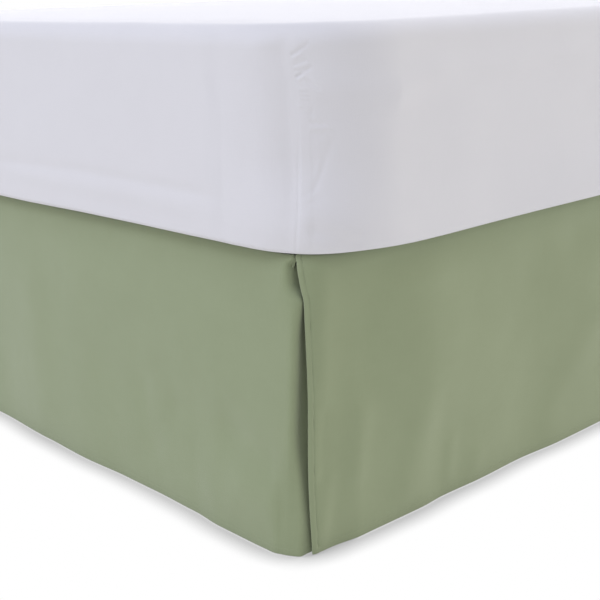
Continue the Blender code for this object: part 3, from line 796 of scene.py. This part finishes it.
def side_panel(name, node, side, folds, seed):
    """A side panel from its split edge on the corner's arc to the head; side is 1 or -1."""
    inward, up = profile_rows()
    edge = CORNER_RADIUS * np.radians(from_table(SPLIT_EDGE, up))
    hem_edge = CORNER_RADIUS * math.radians(SPLIT_EDGE[0].angle)
    end = CORNER_RADIUS * math.pi / 2 + SKIRT_LENGTH - CORNER_RADIUS - hem_edge
    far = end - HEM_COLUMNS[-1]
    distance = graded(HEM_COLUMNS[-1], SIDE_STRETCHES + [(far, SIDE_LAST_STEP)])
    distance = np.concatenate([HEM_COLUMNS[:-1], distance, end - np.array(HEM_COLUMNS[-2::-1])])
    lean = 1.0 - smooth_step(distance, 0.0, EDGE_SPREAD)
    run = hem_edge + distance[:, None] + (edge - hem_edge) * lean[:, None]
    in_x, in_y, out_x, out_y = on_outline(run)
    out = fold_out(folds, in_y, up) - inward + corner_push(run, up, inward)
    grid = placed(side, in_x, in_y, out, side * out_x, out_y, HALF_X - side * HALF_X, up)
    grid[..., 2] += crest(side, run, inward, up)

    height = heights_on(grid)
    travel = distance[:, None] + 0.0 * height
    from_end = end - travel
    between = sewn_from(travel, SIDE_HEM) * sewn_from(from_end, SIDE_HEM)
    above = sewn_from(height, BOTTOM_HEM)
    relief = hem_relief(height, BOTTOM_HEM, travel, seed, between, BOTTOM_HEM_SHARE)
    relief += hem_relief(travel, SIDE_HEM, height, seed + 1, above)
    relief += hem_relief(from_end, SIDE_HEM, height, seed + 2, above)
    inner = smooth_step(height, *CLOTH_RIPPLE_FADE) * smooth_step(travel, *CLOTH_RIPPLE_FADE)
    relief += ripples(seed + 3, travel, height, *CLOTH_RIPPLE) * inner
    places = np.stack([travel, height, 0.0 * travel], axis=-1)
    edge_column = HEM_COLUMNS.index(SIDE_HEM)
    columns = len(grid)
    if side < 0:
        grid, relief, places = grid[::-1], relief[::-1], places[::-1]
        edge_column = columns - 1 - edge_column
    cloth = cloth_object(name + "_cloth", grid, relief, places, SKIRT_CLOTH)
    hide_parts(node)
    stitch_row = HEM_ROWS.index(BOTTOM_HEM)
    first, last = sorted((edge_column, columns - 1 - edge_column))
    lines = [(slice(first, last + 1), stitch_row), (first, slice(stitch_row, None)),
             (last, slice(stitch_row, None))]
    finish_panel(name + "_stitching", grid, lines)


def finish_panel(name, grid, lines):
    normals = normals_of(grid)
    sunk = grid - normals * (STITCH_GROOVE - HEM_RISE)
    threads = stitching(name, [(sunk[line], normals[line]) for line in lines], SKIRT_THREAD)


# ==== the bed =============================================================================

def outline(low, high, radii, arc_stretches, side_step):
    """Round a rectangle with rounded corners, anticlockwise from the foot's right corner:
    points, outward directions, the travel at each point, the travel at each corner's middle
    and the whole way round. arc_stretches(half) grades the travel from -half to half."""
    signs = ((1, -1), (1, 1), (-1, 1), (-1, -1))
    centres = []
    for (sign_x, sign_y), radius in zip(signs, radii):
        x = high.x - radius if sign_x > 0 else low.x + radius
        y = high.y - radius if sign_y > 0 else low.y + radius
        centres.append(np.array([x, y]))
    points, outward, travel, middles = [], [], [], []
    begun = 0.0
    for k, (centre, radius) in enumerate(zip(centres, radii)):
        half = radius * math.pi / 4
        middles.append(begun + half)
        for run in graded(-half, arc_stretches(half)):
            turn = run / radius + (k - 0.5) * math.pi / 2
            away = np.array([math.cos(turn), math.sin(turn)])
            points.append(centre + radius * away)
            outward.append(away)
            travel.append(begun + half + run)
        start = points[-1]
        end = centres[(k + 1) % 4] + radii[(k + 1) % 4] * away
        length = np.linalg.norm(end - start)
        for share in stepped(0.0, 1.0, side_step / length)[1:-1]:
            points.append(start + (end - start) * share)
            outward.append(away)
            travel.append(begun + 2 * half + share * length)
        begun += 2 * half + length
    return np.array(points), np.array(outward), np.array(travel), middles, begun


def even_arc(step):
    """The same step all round an arc, for outline."""
    return lambda half: [(half, step)]


def closed_block(name, rings, places, material):
    """A closed solid through rings of points from the middle of its underside to its top's."""
    count = len(rings[0])
    points = list(rings)
    flat = list(places)
    ids = np.arange(count * len(rings)).reshape(len(rings), count)
    ahead = np.roll(ids, -1, axis=1)
    quads = np.stack([ids[:-1], ahead[:-1], ahead[1:], ids[1:]], axis=-1).reshape(-1, 4)
    faces = quads.tolist()
    for ring, row, turned in ((rings[0], ids[0], True), (rings[-1], ids[-1], False)):
        pole = count * len(rings) + (0 if turned else 1)
        points.append(ring.mean(axis=0, keepdims=True))
        flat.append(points[-1])
        for first, second in zip(row.tolist(), np.roll(row, -1).tolist()):
            faces.append((second, first, pole) if turned else (first, second, pole))
    return new_object(name, np.concatenate(points), faces, material, np.concatenate(flat))


def cap_rings(outer, count):
    """Rings that shrink from an outline towards its middle, outermost first."""
    middle = outer.mean(axis=0, keepdims=True)
    shares = np.linspace(1.0, CAP_INNERMOST, count + 1)[1:]
    return [middle + (outer - middle) * share for share in shares]


# ---- the mattress cover ------------------------------------------------------------------
MATTRESS_CORNER = 0.150
TOP_EDGE = 0.026
Section = namedtuple("Section", "out up")
LOW_SECTION = [              # the low edge, from under the mattress to its wall
    Section(-0.0600, 0.0000), Section(-0.0450, 0.0002), Section(-0.0320, 0.0005),
    Section(-0.0200, 0.0010), Section(-0.0100, 0.0017),
    Section(-0.0045, 0.0026), Section(-0.0018, 0.0040), Section(-0.0004, 0.0062),
    Section(0.0000, 0.0090), Section(0.0000, 0.0125),
]
Edge = namedtuple("Edge", "run full lift")
# the low edge round the cover, measured on the photo's contour through the fitted camera and
# then adjusted; run: to the right of the foot's right corner, fading towards the head
LOW_EDGE = [
    Edge(-0.75, 0.0000, 0.0028), Edge(-0.60, 0.0000, 0.0028), Edge(-0.45, 0.0000, 0.0054),
    Edge(-0.30, 0.0000, 0.0064), Edge(-0.20, 0.0000, 0.0067), Edge(-0.15, 0.0000, 0.0072),
    Edge(-0.12, 0.0000, 0.0076), Edge(-0.09, 0.0000, 0.0078), Edge(-0.06, 0.0000, 0.0070),
    Edge(-0.03, 0.0000, 0.0062), Edge(0.00, 0.0000, 0.0052), Edge(0.03, 0.0000, 0.0046),
    Edge(0.06, 0.0005, 0.0040), Edge(0.09, 0.0015, 0.0030), Edge(0.12, 0.0025, 0.0018),
    Edge(0.15, 0.0030, 0.0006), Edge(0.20, 0.0030, 0.0004), Edge(0.30, 0.0034, 0.0012),
    Edge(0.40, 0.0095, 0.0034), Edge(0.50, 0.0170, 0.0056), Edge(0.65, 0.0230, 0.0074),
    Edge(1.00, 0.0140, 0.0066), Edge(1.35, 0.0060, 0.0040), Edge(1.70, 0.0000, 0.0010),
]
LIFT_IN = (-0.0600, -0.0100)
LIFT_UP = 0.05                 # the lift has gone at this height
EDGE_FADE_UP = (0.030, 0.120)  # over this height the wall comes back from its fuller low edge
CORNER_FULL = 0.016            # how far the low edge of a corner stands out
CORNER_FULL_RUN = 0.075
CORNER_UNDER = (0.045, 0.062, 0.0075)  # run, half run and depth of the turning under ...
CORNER_UNDER_UP = 0.030                # ... of a corner's low edge, up to this height
CORNER_UNDER_LIFT = -0.0011
COVER_FINE = (-0.032, 0.040)   # round a corner, where the seam and its puckers are
COVER_FINE_UP = 0.146
ARC_STEP = 0.0045
ARC_FINE_STEP = 0.0011
COVER_SIDE_STEP = 0.026
WALL_STEP = 0.0038             # between the cover's rows, up to COVER_FINE_UP ...
WALL_FINE_STEP = 0.0016        # ... and above it
TOP_EDGE_STEPS = 12
COVER_SEED = 51
COVER_RIPPLE = (0.080, 0.400, 0.0010)  # its shortest and longest wave, and its height
RELIEF_FADE = (0.0, 0.010)     # over this height the cover's relief comes in
TOP_SEED = 53
TOP_DENTS = (0.20, 0.90, 0.0015)       # as in COVER_RIPPLE
TOP_DENTS_FADE = (1.2, 0.3)    # none this far from the top's middle, in full this near
UNDER_RINGS = 3
OVER_RINGS = 10
Seam = namedtuple("Seam", "up run")      # run: to the right of the corner's middle
SEAM = [
    Seam(0.005, -0.0140), Seam(0.016, -0.0140), Seam(0.043, -0.0120), Seam(0.071, -0.0110),
    Seam(0.116, -0.0105), Seam(0.178, -0.0110), Seam(0.202, -0.0115), Seam(0.216, -0.0135),
    Seam(0.234, -0.0170), Seam(0.242, -0.0160), Seam(0.256, -0.0110), Seam(0.267, -0.0040),
]
SEAM_FADE = (0.246, 0.266)
WELT_RISE = 0.0005
WELT_START = (-0.0012, 0.0012)
WELT_EDGE = (0.0100, 0.0150)
WELT_FADE = (0.12, 0.18)     # over this height the welt loses ...
WELT_LOSS = 0.7              # ... this share of its rise
GROOVE_FADE = (0.105, 0.135)
SWELL_FADE = (0.0, 0.11)
SEAM_GROOVE = (-0.0032, 0.0011, -0.0006)     # from the seam, half width, rise
SEAM_HOLLOW = (-0.0130, 0.0090, -0.0011)
SEAM_SWELL = (-0.0430, 0.0190, 0.0020)
# round a corner (along, to the right of its middle) and up it
TOP_PUCKERS = [
    Fold(-0.0170, 0.2355, 0.0010, 0.2470, 0.0019, -0.0010),
    Fold(-0.0160, 0.2315, -0.0070, 0.2360, 0.0017, 0.0006),
    Fold(-0.0150, 0.2245, -0.0030, 0.2285, 0.0020, -0.0006),
    Fold(-0.0130, 0.2210, 0.0010, 0.2250, 0.0017, 0.0004),
    Fold(-0.0140, 0.2175, 0.0040, 0.2210, 0.0020, -0.0007),
    Fold(-0.0120, 0.2115, 0.0000, 0.2185, 0.0018, -0.0010),
    Fold(-0.0125, 0.2115, -0.0085, 0.2135, 0.0018, -0.0005),
    Fold(-0.0110, 0.2080, -0.0040, 0.2110, 0.0017, 0.0006),
    Fold(0.0010, 0.2055, 0.0120, 0.1975, 0.0025, -0.0006),
]
GATHERS_UP = 0.1965          # the uppermost of the short even gathers below them
GATHERS_STEP = 0.00235
GATHERS_TILT = 0.0004
GATHERS_WIDTH = 0.0014
GATHERS = [                  # (from along, to along, rise)
    (-0.0090, -0.0010, 0.0004), (-0.0090, 0.0000, -0.0005), (-0.0090, -0.0010, 0.0004),
    (-0.0090, 0.0000, -0.0005), (-0.0085, -0.0010, 0.0003), (-0.0070, 0.0000, -0.0004),
]
LOW_PUCKERS = [
    Fold(-0.0115, 0.1775, -0.0085, 0.1780, 0.0020, 0.0004),
    Fold(0.0040, 0.1735, 0.0030, 0.1685, 0.0028, -0.0005),
    Fold(0.0020, 0.1595, 0.0160, 0.1575, 0.0024, -0.0006),
    Fold(0.0030, 0.1525, 0.0240, 0.1525, 0.0020, 0.0006),
    Fold(0.0030, 0.1455, 0.0150, 0.1455, 0.0026, -0.0004),
    Fold(0.0120, 0.1125, 0.0040, 0.0925, 0.0030, 0.0006),
    Fold(0.0250, 0.1355, 0.0050, 0.0865, 0.0053, -0.0008),
    Fold(-0.0095, 0.0800, -0.0020, 0.0830, 0.0017, 0.0004),
    Fold(-0.0085, 0.0765, 0.0065, 0.0830, 0.0020, -0.0008),
    Fold(-0.0075, 0.0725, -0.0015, 0.0735, 0.0033, 0.0004),
    Fold(-0.0015, 0.0690, 0.0125, 0.0750, 0.0022, -0.0007),
    Fold(-0.0190, 0.0935, -0.0195, 0.0785, 0.0065, -0.0008),
    Fold(-0.0190, 0.0645, -0.0185, 0.0565, 0.0075, -0.0007),
    Fold(-0.0235, 0.1045, -0.0175, 0.1040, 0.0022, -0.0003),
    Fold(-0.0060, 0.0510, -0.0060, 0.0210, 0.0055, 0.0004),
    Fold(0.0065, 0.0345, 0.0495, 0.0145, 0.0120, -0.0030),
]
FACE_CREASES = [             # creases and broad swells; along: right of the foot's right corner
    Fold(-0.148, 0.0665, -0.435, 0.0685, 0.0080, -0.0012),
    Fold(-0.435, 0.0685, -0.671, 0.0615, 0.0090, -0.0012),
    Fold(-0.178, 0.0460, -0.612, 0.0475, 0.0130, 0.0010),
    Fold(0.014, 0.1985, 0.118, 0.1880, 0.0190, 0.0026),
    Fold(0.118, 0.1880, 0.188, 0.2080, 0.0190, 0.0024),
    Fold(0.188, 0.2080, 0.924, 0.2155, 0.0170, 0.0020),
    Fold(0.074, 0.1500, 0.179, 0.1185, 0.0500, -0.0012),
    Fold(0.900, 0.2260, 1.700, 0.2180, 0.0120, -0.0010),
    Fold(-0.900, 0.0600, -1.350, 0.0660, 0.0090, -0.0010),
    Fold(2.100, 0.0620, 2.900, 0.0580, 0.0090, -0.0011),
    Fold(-1.700, 0.2000, -2.600, 0.2140, 0.0120, -0.0012),
]
SHAKEN_RISE = (0.6, 1.2)
SHAKEN_LIFT = 0.002
SHAKEN_SEED = 40


def corner_puckers():
    """The puckers across a corner's seam, from its top down."""
    gathers = []
    for k, (start, end, rise) in enumerate(GATHERS):
        up = GATHERS_UP - k * GATHERS_STEP
        gathers.append(Fold(start, up, end, up - GATHERS_TILT, GATHERS_WIDTH, rise))
    return TOP_PUCKERS + gathers + LOW_PUCKERS


def shaken(folds, seed):
    """The same folds a little otherwise, so that no two corners are alike."""
    draw = random.Random(seed)
    made = []
    for fold in folds:
        rise = fold.rise * draw.uniform(*SHAKEN_RISE)
        lift = draw.uniform(-SHAKEN_LIFT, SHAKEN_LIFT)
        made.append(fold._replace(rise=rise, from_up=fold.from_up + lift, to_up=fold.to_up + lift))
    return made


def bell(value, middle, width, rise):
    """A soft swell round a middle value."""
    return rise * np.exp(-((value - middle) / width) ** 2)


def seam_relief(from_corner, up):
    """A corner's seam: a flat welt to its right, a fine groove and a hollow to its left."""
    from_seam = from_corner - from_table(SEAM, up)
    welt = smooth_step(from_seam, *WELT_START) * (1.0 - smooth_step(from_seam, *WELT_EDGE))
    relief = WELT_RISE * welt * (1.0 - WELT_LOSS * smooth_step(up, *WELT_FADE))
    relief += bell(from_seam, *SEAM_GROOVE) * (1.0 - smooth_step(up, *GROOVE_FADE))
    relief += bell(from_seam, *SEAM_HOLLOW)
    relief += bell(from_seam, *SEAM_SWELL) * smooth_step(up, *SWELL_FADE)
    return relief * (1.0 - smooth_step(up, *SEAM_FADE))


def cover_relief(run, up, whole):
    """How far the cover stands out; run is the travel from the foot's right corner."""
    relief = np.zeros(np.broadcast(run[0], up).shape)
    for corner, from_corner in enumerate(run):
        puckers = corner_puckers()
        if corner > 0:
            puckers = shaken(puckers, SHAKEN_SEED + corner)
        relief += stroke_sum(puckers, from_corner, up) + seam_relief(from_corner, up)
    for shift in (0.0, whole, -whole):
        relief += stroke_sum(FACE_CREASES, run[0] + shift, up)
    return relief


def seam_arc(half):
    """The steps round a corner of the cover, fine where its seam and puckers are."""
    return [(COVER_FINE[0], ARC_STEP), (COVER_FINE[1], ARC_FINE_STEP), (half, ARC_STEP)]


def cover_rows():
    """The cover's section up to its top: how far out, how high and how far it has turned in."""
    edge = MATTRESS_HIGH.z - MATTRESS_LOW.z - TOP_EDGE
    wall = graded(LOW_SECTION[-1].up, [(COVER_FINE_UP, WALL_STEP), (edge, WALL_FINE_STEP)])[1:]
    turn = np.linspace(0.0, math.pi / 2, TOP_EDGE_STEPS + 1)[1:]
    out = np.concatenate([[s.out for s in LOW_SECTION], 0.0 * wall, TOP_EDGE * (np.cos(turn) - 1.0)])
    up = np.concatenate([[s.up for s in LOW_SECTION], wall, edge + TOP_EDGE * np.sin(turn)])
    tilt = np.concatenate([np.zeros(len(LOW_SECTION) + len(wall)), turn])
    return out, up, tilt


def shaped_low_edge(run, out, up):
    """How far out the cover is at every point, and how far its low edge is lifted."""
    full = from_table(LOW_EDGE, run[0])
    full += sum(bell(r, 0.0, CORNER_FULL_RUN, CORNER_FULL) for r in run)
    under = sum(bell(r, *CORNER_UNDER) for r in run)
    lift = from_table(LOW_EDGE, run[0], 2)
    lift = (lift + under / CORNER_UNDER[2] * CORNER_UNDER_LIFT)[:, None]
    lift = lift * (1.0 - smooth_step(up, 0.0, LIFT_UP)) * smooth_step(out, *LIFT_IN)
    out = out + full[:, None] * (1.0 - smooth_step(up, *EDGE_FADE_UP))
    out -= under[:, None] * np.clip(1.0 - up / CORNER_UNDER_UP, 0.0, 1.0) ** 2
    return out, lift


def top_rings(edge_ring):
    """The cover's softly dented top, inside its edge."""
    over = cap_rings(edge_ring, OVER_RINGS)
    for ring in over:
        reach = np.linalg.norm((ring - ring.mean(axis=0))[:, :2], axis=1)
        dents = ripples(TOP_SEED, ring[:, 0], ring[:, 1], *TOP_DENTS)
        ring[:, 2] += dents * smooth_step(reach, *TOP_DENTS_FADE)
    return over


def mattress_cover():
    """The mattress in its cover, with a seam and puckers at every corner."""
    points, outward, travel, middles, whole = outline(
        MATTRESS_LOW, MATTRESS_HIGH, [MATTRESS_CORNER] * 4, seam_arc, COVER_SIDE_STEP)
    run = [(travel - middle + whole / 2) % whole - whole / 2 for middle in middles]
    out, up, tilt = cover_rows()
    relief = cover_relief([r[:, None] for r in run], up[None, :], whole)
    relief += ripples(COVER_SEED, run[0][:, None], up[None, :], *COVER_RIPPLE)
    relief *= np.cos(tilt / 2)[None, :] ** 2 * smooth_step(up, *RELIEF_FADE)[None, :]
    out, lift = shaped_low_edge(run, out, up)

    rings, places = [], []
    for k in range(len(up)):
        plan = points + outward * (out[:, k] + relief[:, k] * math.cos(tilt[k]))[:, None]
        height = MATTRESS_LOW.z + up[k] + lift[:, k] + relief[:, k] * math.sin(tilt[k])
        rings.append(np.column_stack([plan, height]))
        places.append(np.column_stack([travel, 0.0 * travel + up[k], 0.0 * travel]))
    under = cap_rings(rings[0], UNDER_RINGS)[::-1]
    over = top_rings(rings[-1])
    cover = closed_block("mattress_cover", under + rings + over, under + places + over,
                         COVER_CLOTH)
    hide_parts("mattress")


# ---- the deck ----------------------------------------------------------------------------
DECK_HEAD_CORNER = 0.004
DECK_ARC_STEP = 0.0015
DECK_SIDE_STEP = 0.030
DECK_EDGE_ROWS = 5
DECK_RINGS = 12


def deck():
    """The skirt's flat centre piece between the mattress and the foundation."""
    reach = LIP_REACH + SEAM_GAP
    foot_corner = CORNER_RADIUS - reach
    radii = [foot_corner, DECK_HEAD_CORNER, DECK_HEAD_CORNER, foot_corner]
    points, outward, *_ = outline(DECK_LOW, DECK_HIGH, radii, even_arc(DECK_ARC_STEP),
                                  DECK_SIDE_STEP)
    middle = (DECK_LOW.z + DECK_HIGH.z) / 2
    half = (DECK_HIGH.z - DECK_LOW.z) / 2
    rings = []
    for turn in np.linspace(-math.pi / 2, math.pi / 2, DECK_EDGE_ROWS):
        inset = half * (1.0 - math.cos(turn))
        z = np.full(len(points), middle + half * math.sin(turn))
        rings.append(np.column_stack([points - outward * inset, z]))
    rings = cap_rings(rings[0], DECK_RINGS)[::-1] + rings + cap_rings(rings[-1], DECK_RINGS)
    cloth = closed_block("deck_cloth", rings, rings, SKIRT_CLOTH)
    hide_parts("deck")


# ---- the foundation ----------------------------------------------------------------------
FOUNDATION_CORNER = 0.060
PIPING = 0.0042
PIPING_IN = 0.0030           # the cloth between the pipings, in from the solid's side
PIPING_TURN = 0.42 * math.pi
PIPING_STEPS = 9
FOUNDATION_ROW_STEP = 0.012
FOUNDATION_ARC_STEP = 0.005
FOUNDATION_SIDE_STEP = 0.025
FOUNDATION_SEED = 61
FOUNDATION_RIPPLE = (0.08, 0.45, 0.0009)   # its shortest and longest wave, and its height
FOUNDATION_SAG = 0.0008
FOUNDATION_RINGS = 8


def foundation_section():
    """The foundation's section: (inset, height) from the underside up, with two pipings."""
    low, high = FOUNDATION_LOW.z, FOUNDATION_HIGH.z
    section = [(0.012, low), (0.007, low + 0.0005), (0.0045, low + 0.0020)]
    for centre in (low + 0.0065, high - 0.0105):
        for turn in np.linspace(-PIPING_TURN, PIPING_TURN, PIPING_STEPS):
            section.append((PIPING * (1.0 - math.cos(turn)), centre + PIPING * math.sin(turn)))
        if centre < (low + high) / 2:
            for z in stepped(low + 0.0125, high - 0.0165, FOUNDATION_ROW_STEP):
                section.append((PIPING_IN, z))
    section += [(0.0050, high - 0.0045), (0.0075, high - 0.0018), (0.0120, high)]
    return section


def foundation():
    """The box under the deck, in ticking that sags a little between its pipings."""
    points, outward, travel, *_ = outline(
        FOUNDATION_LOW, FOUNDATION_HIGH, [FOUNDATION_CORNER] * 4,
        even_arc(FOUNDATION_ARC_STEP), FOUNDATION_SIDE_STEP)
    middle = (FOUNDATION_LOW.z + FOUNDATION_HIGH.z) / 2
    half = (FOUNDATION_HIGH.z - FOUNDATION_LOW.z) / 2
    rings, places = [], []
    for inset, z in foundation_section():
        slack = 1.0 - abs(z - middle) / half
        hollow = ripples(FOUNDATION_SEED, travel, z, *FOUNDATION_RIPPLE) - FOUNDATION_SAG
        out = hollow * slack - inset
        rings.append(np.column_stack([points + outward * out[:, None], np.full(len(points), z)]))
        places.append(np.column_stack([travel, np.full(len(points), z), 0.0 * travel]))
    under = cap_rings(rings[0], FOUNDATION_RINGS)[::-1]
    over = cap_rings(rings[-1], FOUNDATION_RINGS)
    box = closed_block("foundation_box", under + rings + over, under + places + over, TICKING)
    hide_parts("foundation")


# ---- the legs ----------------------------------------------------------------------------
LEG_SECTION = [              # share of the leg's height, radius
    (0.000, 0.0140), (0.004, 0.0170), (0.018, 0.0188), (0.040, 0.0192), (0.500, 0.0236),
    (0.900, 0.0272), (0.945, 0.0276), (0.958, 0.0262), (0.964, 0.0256), (0.970, 0.0262),
    (0.980, 0.0278), (0.992, 0.0276), (1.000, 0.0255),
]
LEG_SIDES = 40
LEG_RINGS = 2


def leg(node):
    """A turned, tapered leg with one small groove under its plate."""
    low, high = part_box(node)
    middle = (low + high) / 2
    turns = np.linspace(0.0, math.tau, LEG_SIDES, endpoint=False)
    rings = []
    for share, radius in LEG_SECTION:
        z = low.z + (high.z - low.z) * share
        rings.append(np.column_stack([middle.x + radius * np.cos(turns),
                                      middle.y + radius * np.sin(turns), np.full(LEG_SIDES, z)]))
    rings = cap_rings(rings[0], LEG_RINGS)[::-1] + rings + cap_rings(rings[-1], LEG_RINGS)
    made = closed_block("turned_" + node, rings, rings, WOOD)
    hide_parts(node)


# ==== stage, light and camera =============================================================

FLOOR_REACH = 120.0


def floor():
    """A white floor that reaches the horizon."""
    signs = ((-1, -1), (1, -1), (1, 1), (-1, 1))
    corners = [(x * FLOOR_REACH, y * FLOOR_REACH, 0.0) for x, y in signs]
    mesh = bpy.data.meshes.new("studio_floor")
    mesh.from_pydata(corners, [], [(0, 1, 2, 3)])
    mesh.materials.append(floor_material())
    obj = linked("studio_floor", mesh)
    obj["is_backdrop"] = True


Lamp = namedtuple("Lamp", "name turn rise width power colour")   # turn: from +X towards +Y
LAMP_AWAY = 10.0
LAMP_AIM = Vector((0.0, 0.0, 0.3))
LAMPS = [
    Lamp("foot_light", -98.0, 58.0, 7.0, 500.0, (0.91, 0.96, 1.13)),
    Lamp("side_light", 66.0, 16.0, 5.0, 450.0, (1.0, 0.96, 0.85)),
    Lamp("head_light", 115.0, 25.0, 5.0, 360.0, (1.0, 1.0, 1.0)),
    Lamp("far_light", 155.0, 25.0, 5.0, 360.0, (1.0, 1.0, 1.0)),
]


def area_light(lamp):
    """A square lamp that faces the bed from its direction."""
    data = bpy.data.lights.new(lamp.name, "AREA")
    data.shape = "SQUARE"
    data.size = lamp.width
    data.energy = lamp.power
    data.color = lamp.colour
    obj = linked(lamp.name, data)
    turn, rise = math.radians(lamp.turn), math.radians(lamp.rise)
    away = Vector((math.cos(turn) * math.cos(rise), math.sin(turn) * math.cos(rise), math.sin(rise)))
    obj.location = LAMP_AIM + away * LAMP_AWAY
    obj.rotation_euler = away.to_track_quat("Z", "Y").to_euler()


# the world, by the height of the direction: white at the horizon, dimmer above it
WORLD_FADE = {"From Min": 0.0, "From Max": 0.40, "To Min": 1.0, "To Max": 0.56}


def lights():
    """A white world that dims above the horizon, and the lamps."""
    world = bpy.data.worlds.new("studio")
    bpy.context.scene.world = world
    world.use_nodes = True
    nodes, links = world.node_tree.nodes, world.node_tree.links
    direction = nodes.new("ShaderNodeTexCoord")
    split = nodes.new("ShaderNodeSeparateXYZ")
    links.new(direction.outputs["Generated"], split.inputs[0])
    fade = nodes.new("ShaderNodeMapRange")
    for key, value in WORLD_FADE.items():
        fade.inputs[key].default_value = value
    links.new(split.outputs["Z"], fade.inputs["Value"])
    links.new(fade.outputs["Result"], nodes["Background"].inputs["Strength"])
    nodes["Background"].inputs["Color"].default_value = (1.0, 1.0, 1.0, 1.0)
    for lamp in LAMPS:
        area_light(lamp)


def camera():
    """The camera that sees the bed's foot corner as the photo does, from above its side."""
    data = bpy.data.cameras.new("camera")
    data.sensor_width = SENSOR
    data.lens = SENSOR * FOCAL_PIXELS / FRAME_PIXELS
    obj = linked("camera", data)
    forward = Vector((math.sin(CAMERA_YAW) * math.cos(CAMERA_PITCH),
                      math.cos(CAMERA_YAW) * math.cos(CAMERA_PITCH), math.sin(CAMERA_PITCH)))
    level = Vector((math.cos(CAMERA_YAW), -math.sin(CAMERA_YAW), 0.0))
    upright = level.cross(forward)
    right = level * math.cos(CAMERA_ROLL) + upright * math.sin(CAMERA_ROLL)
    turned = Matrix((right, right.cross(forward), -forward)).transposed()
    corner = BED + Vector((HALF_X, -HALF_Y, 0.0))
    obj.matrix_world = Matrix.Translation(corner + CAMERA_FROM_CORNER) @ turned.to_4x4()
    bpy.context.scene.camera = obj


bpy.context.scene.view_settings.view_transform = "Standard"
foot_panel()
side_panel("right_panel", "panel_right", 1, RIGHT_FOLDS, 21)
side_panel("left_panel", "panel_left", -1, LEFT_FOLDS, 31)
deck()
mattress_cover()
foundation()
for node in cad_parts:
    if node.startswith("leg_"):
        leg(node)
floor()
lights()
camera()

boxes = {"cad": CAD_BOX, "visual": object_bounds()}
{name: [list(low), list(high)] for name, (low, high) in boxes.items()}
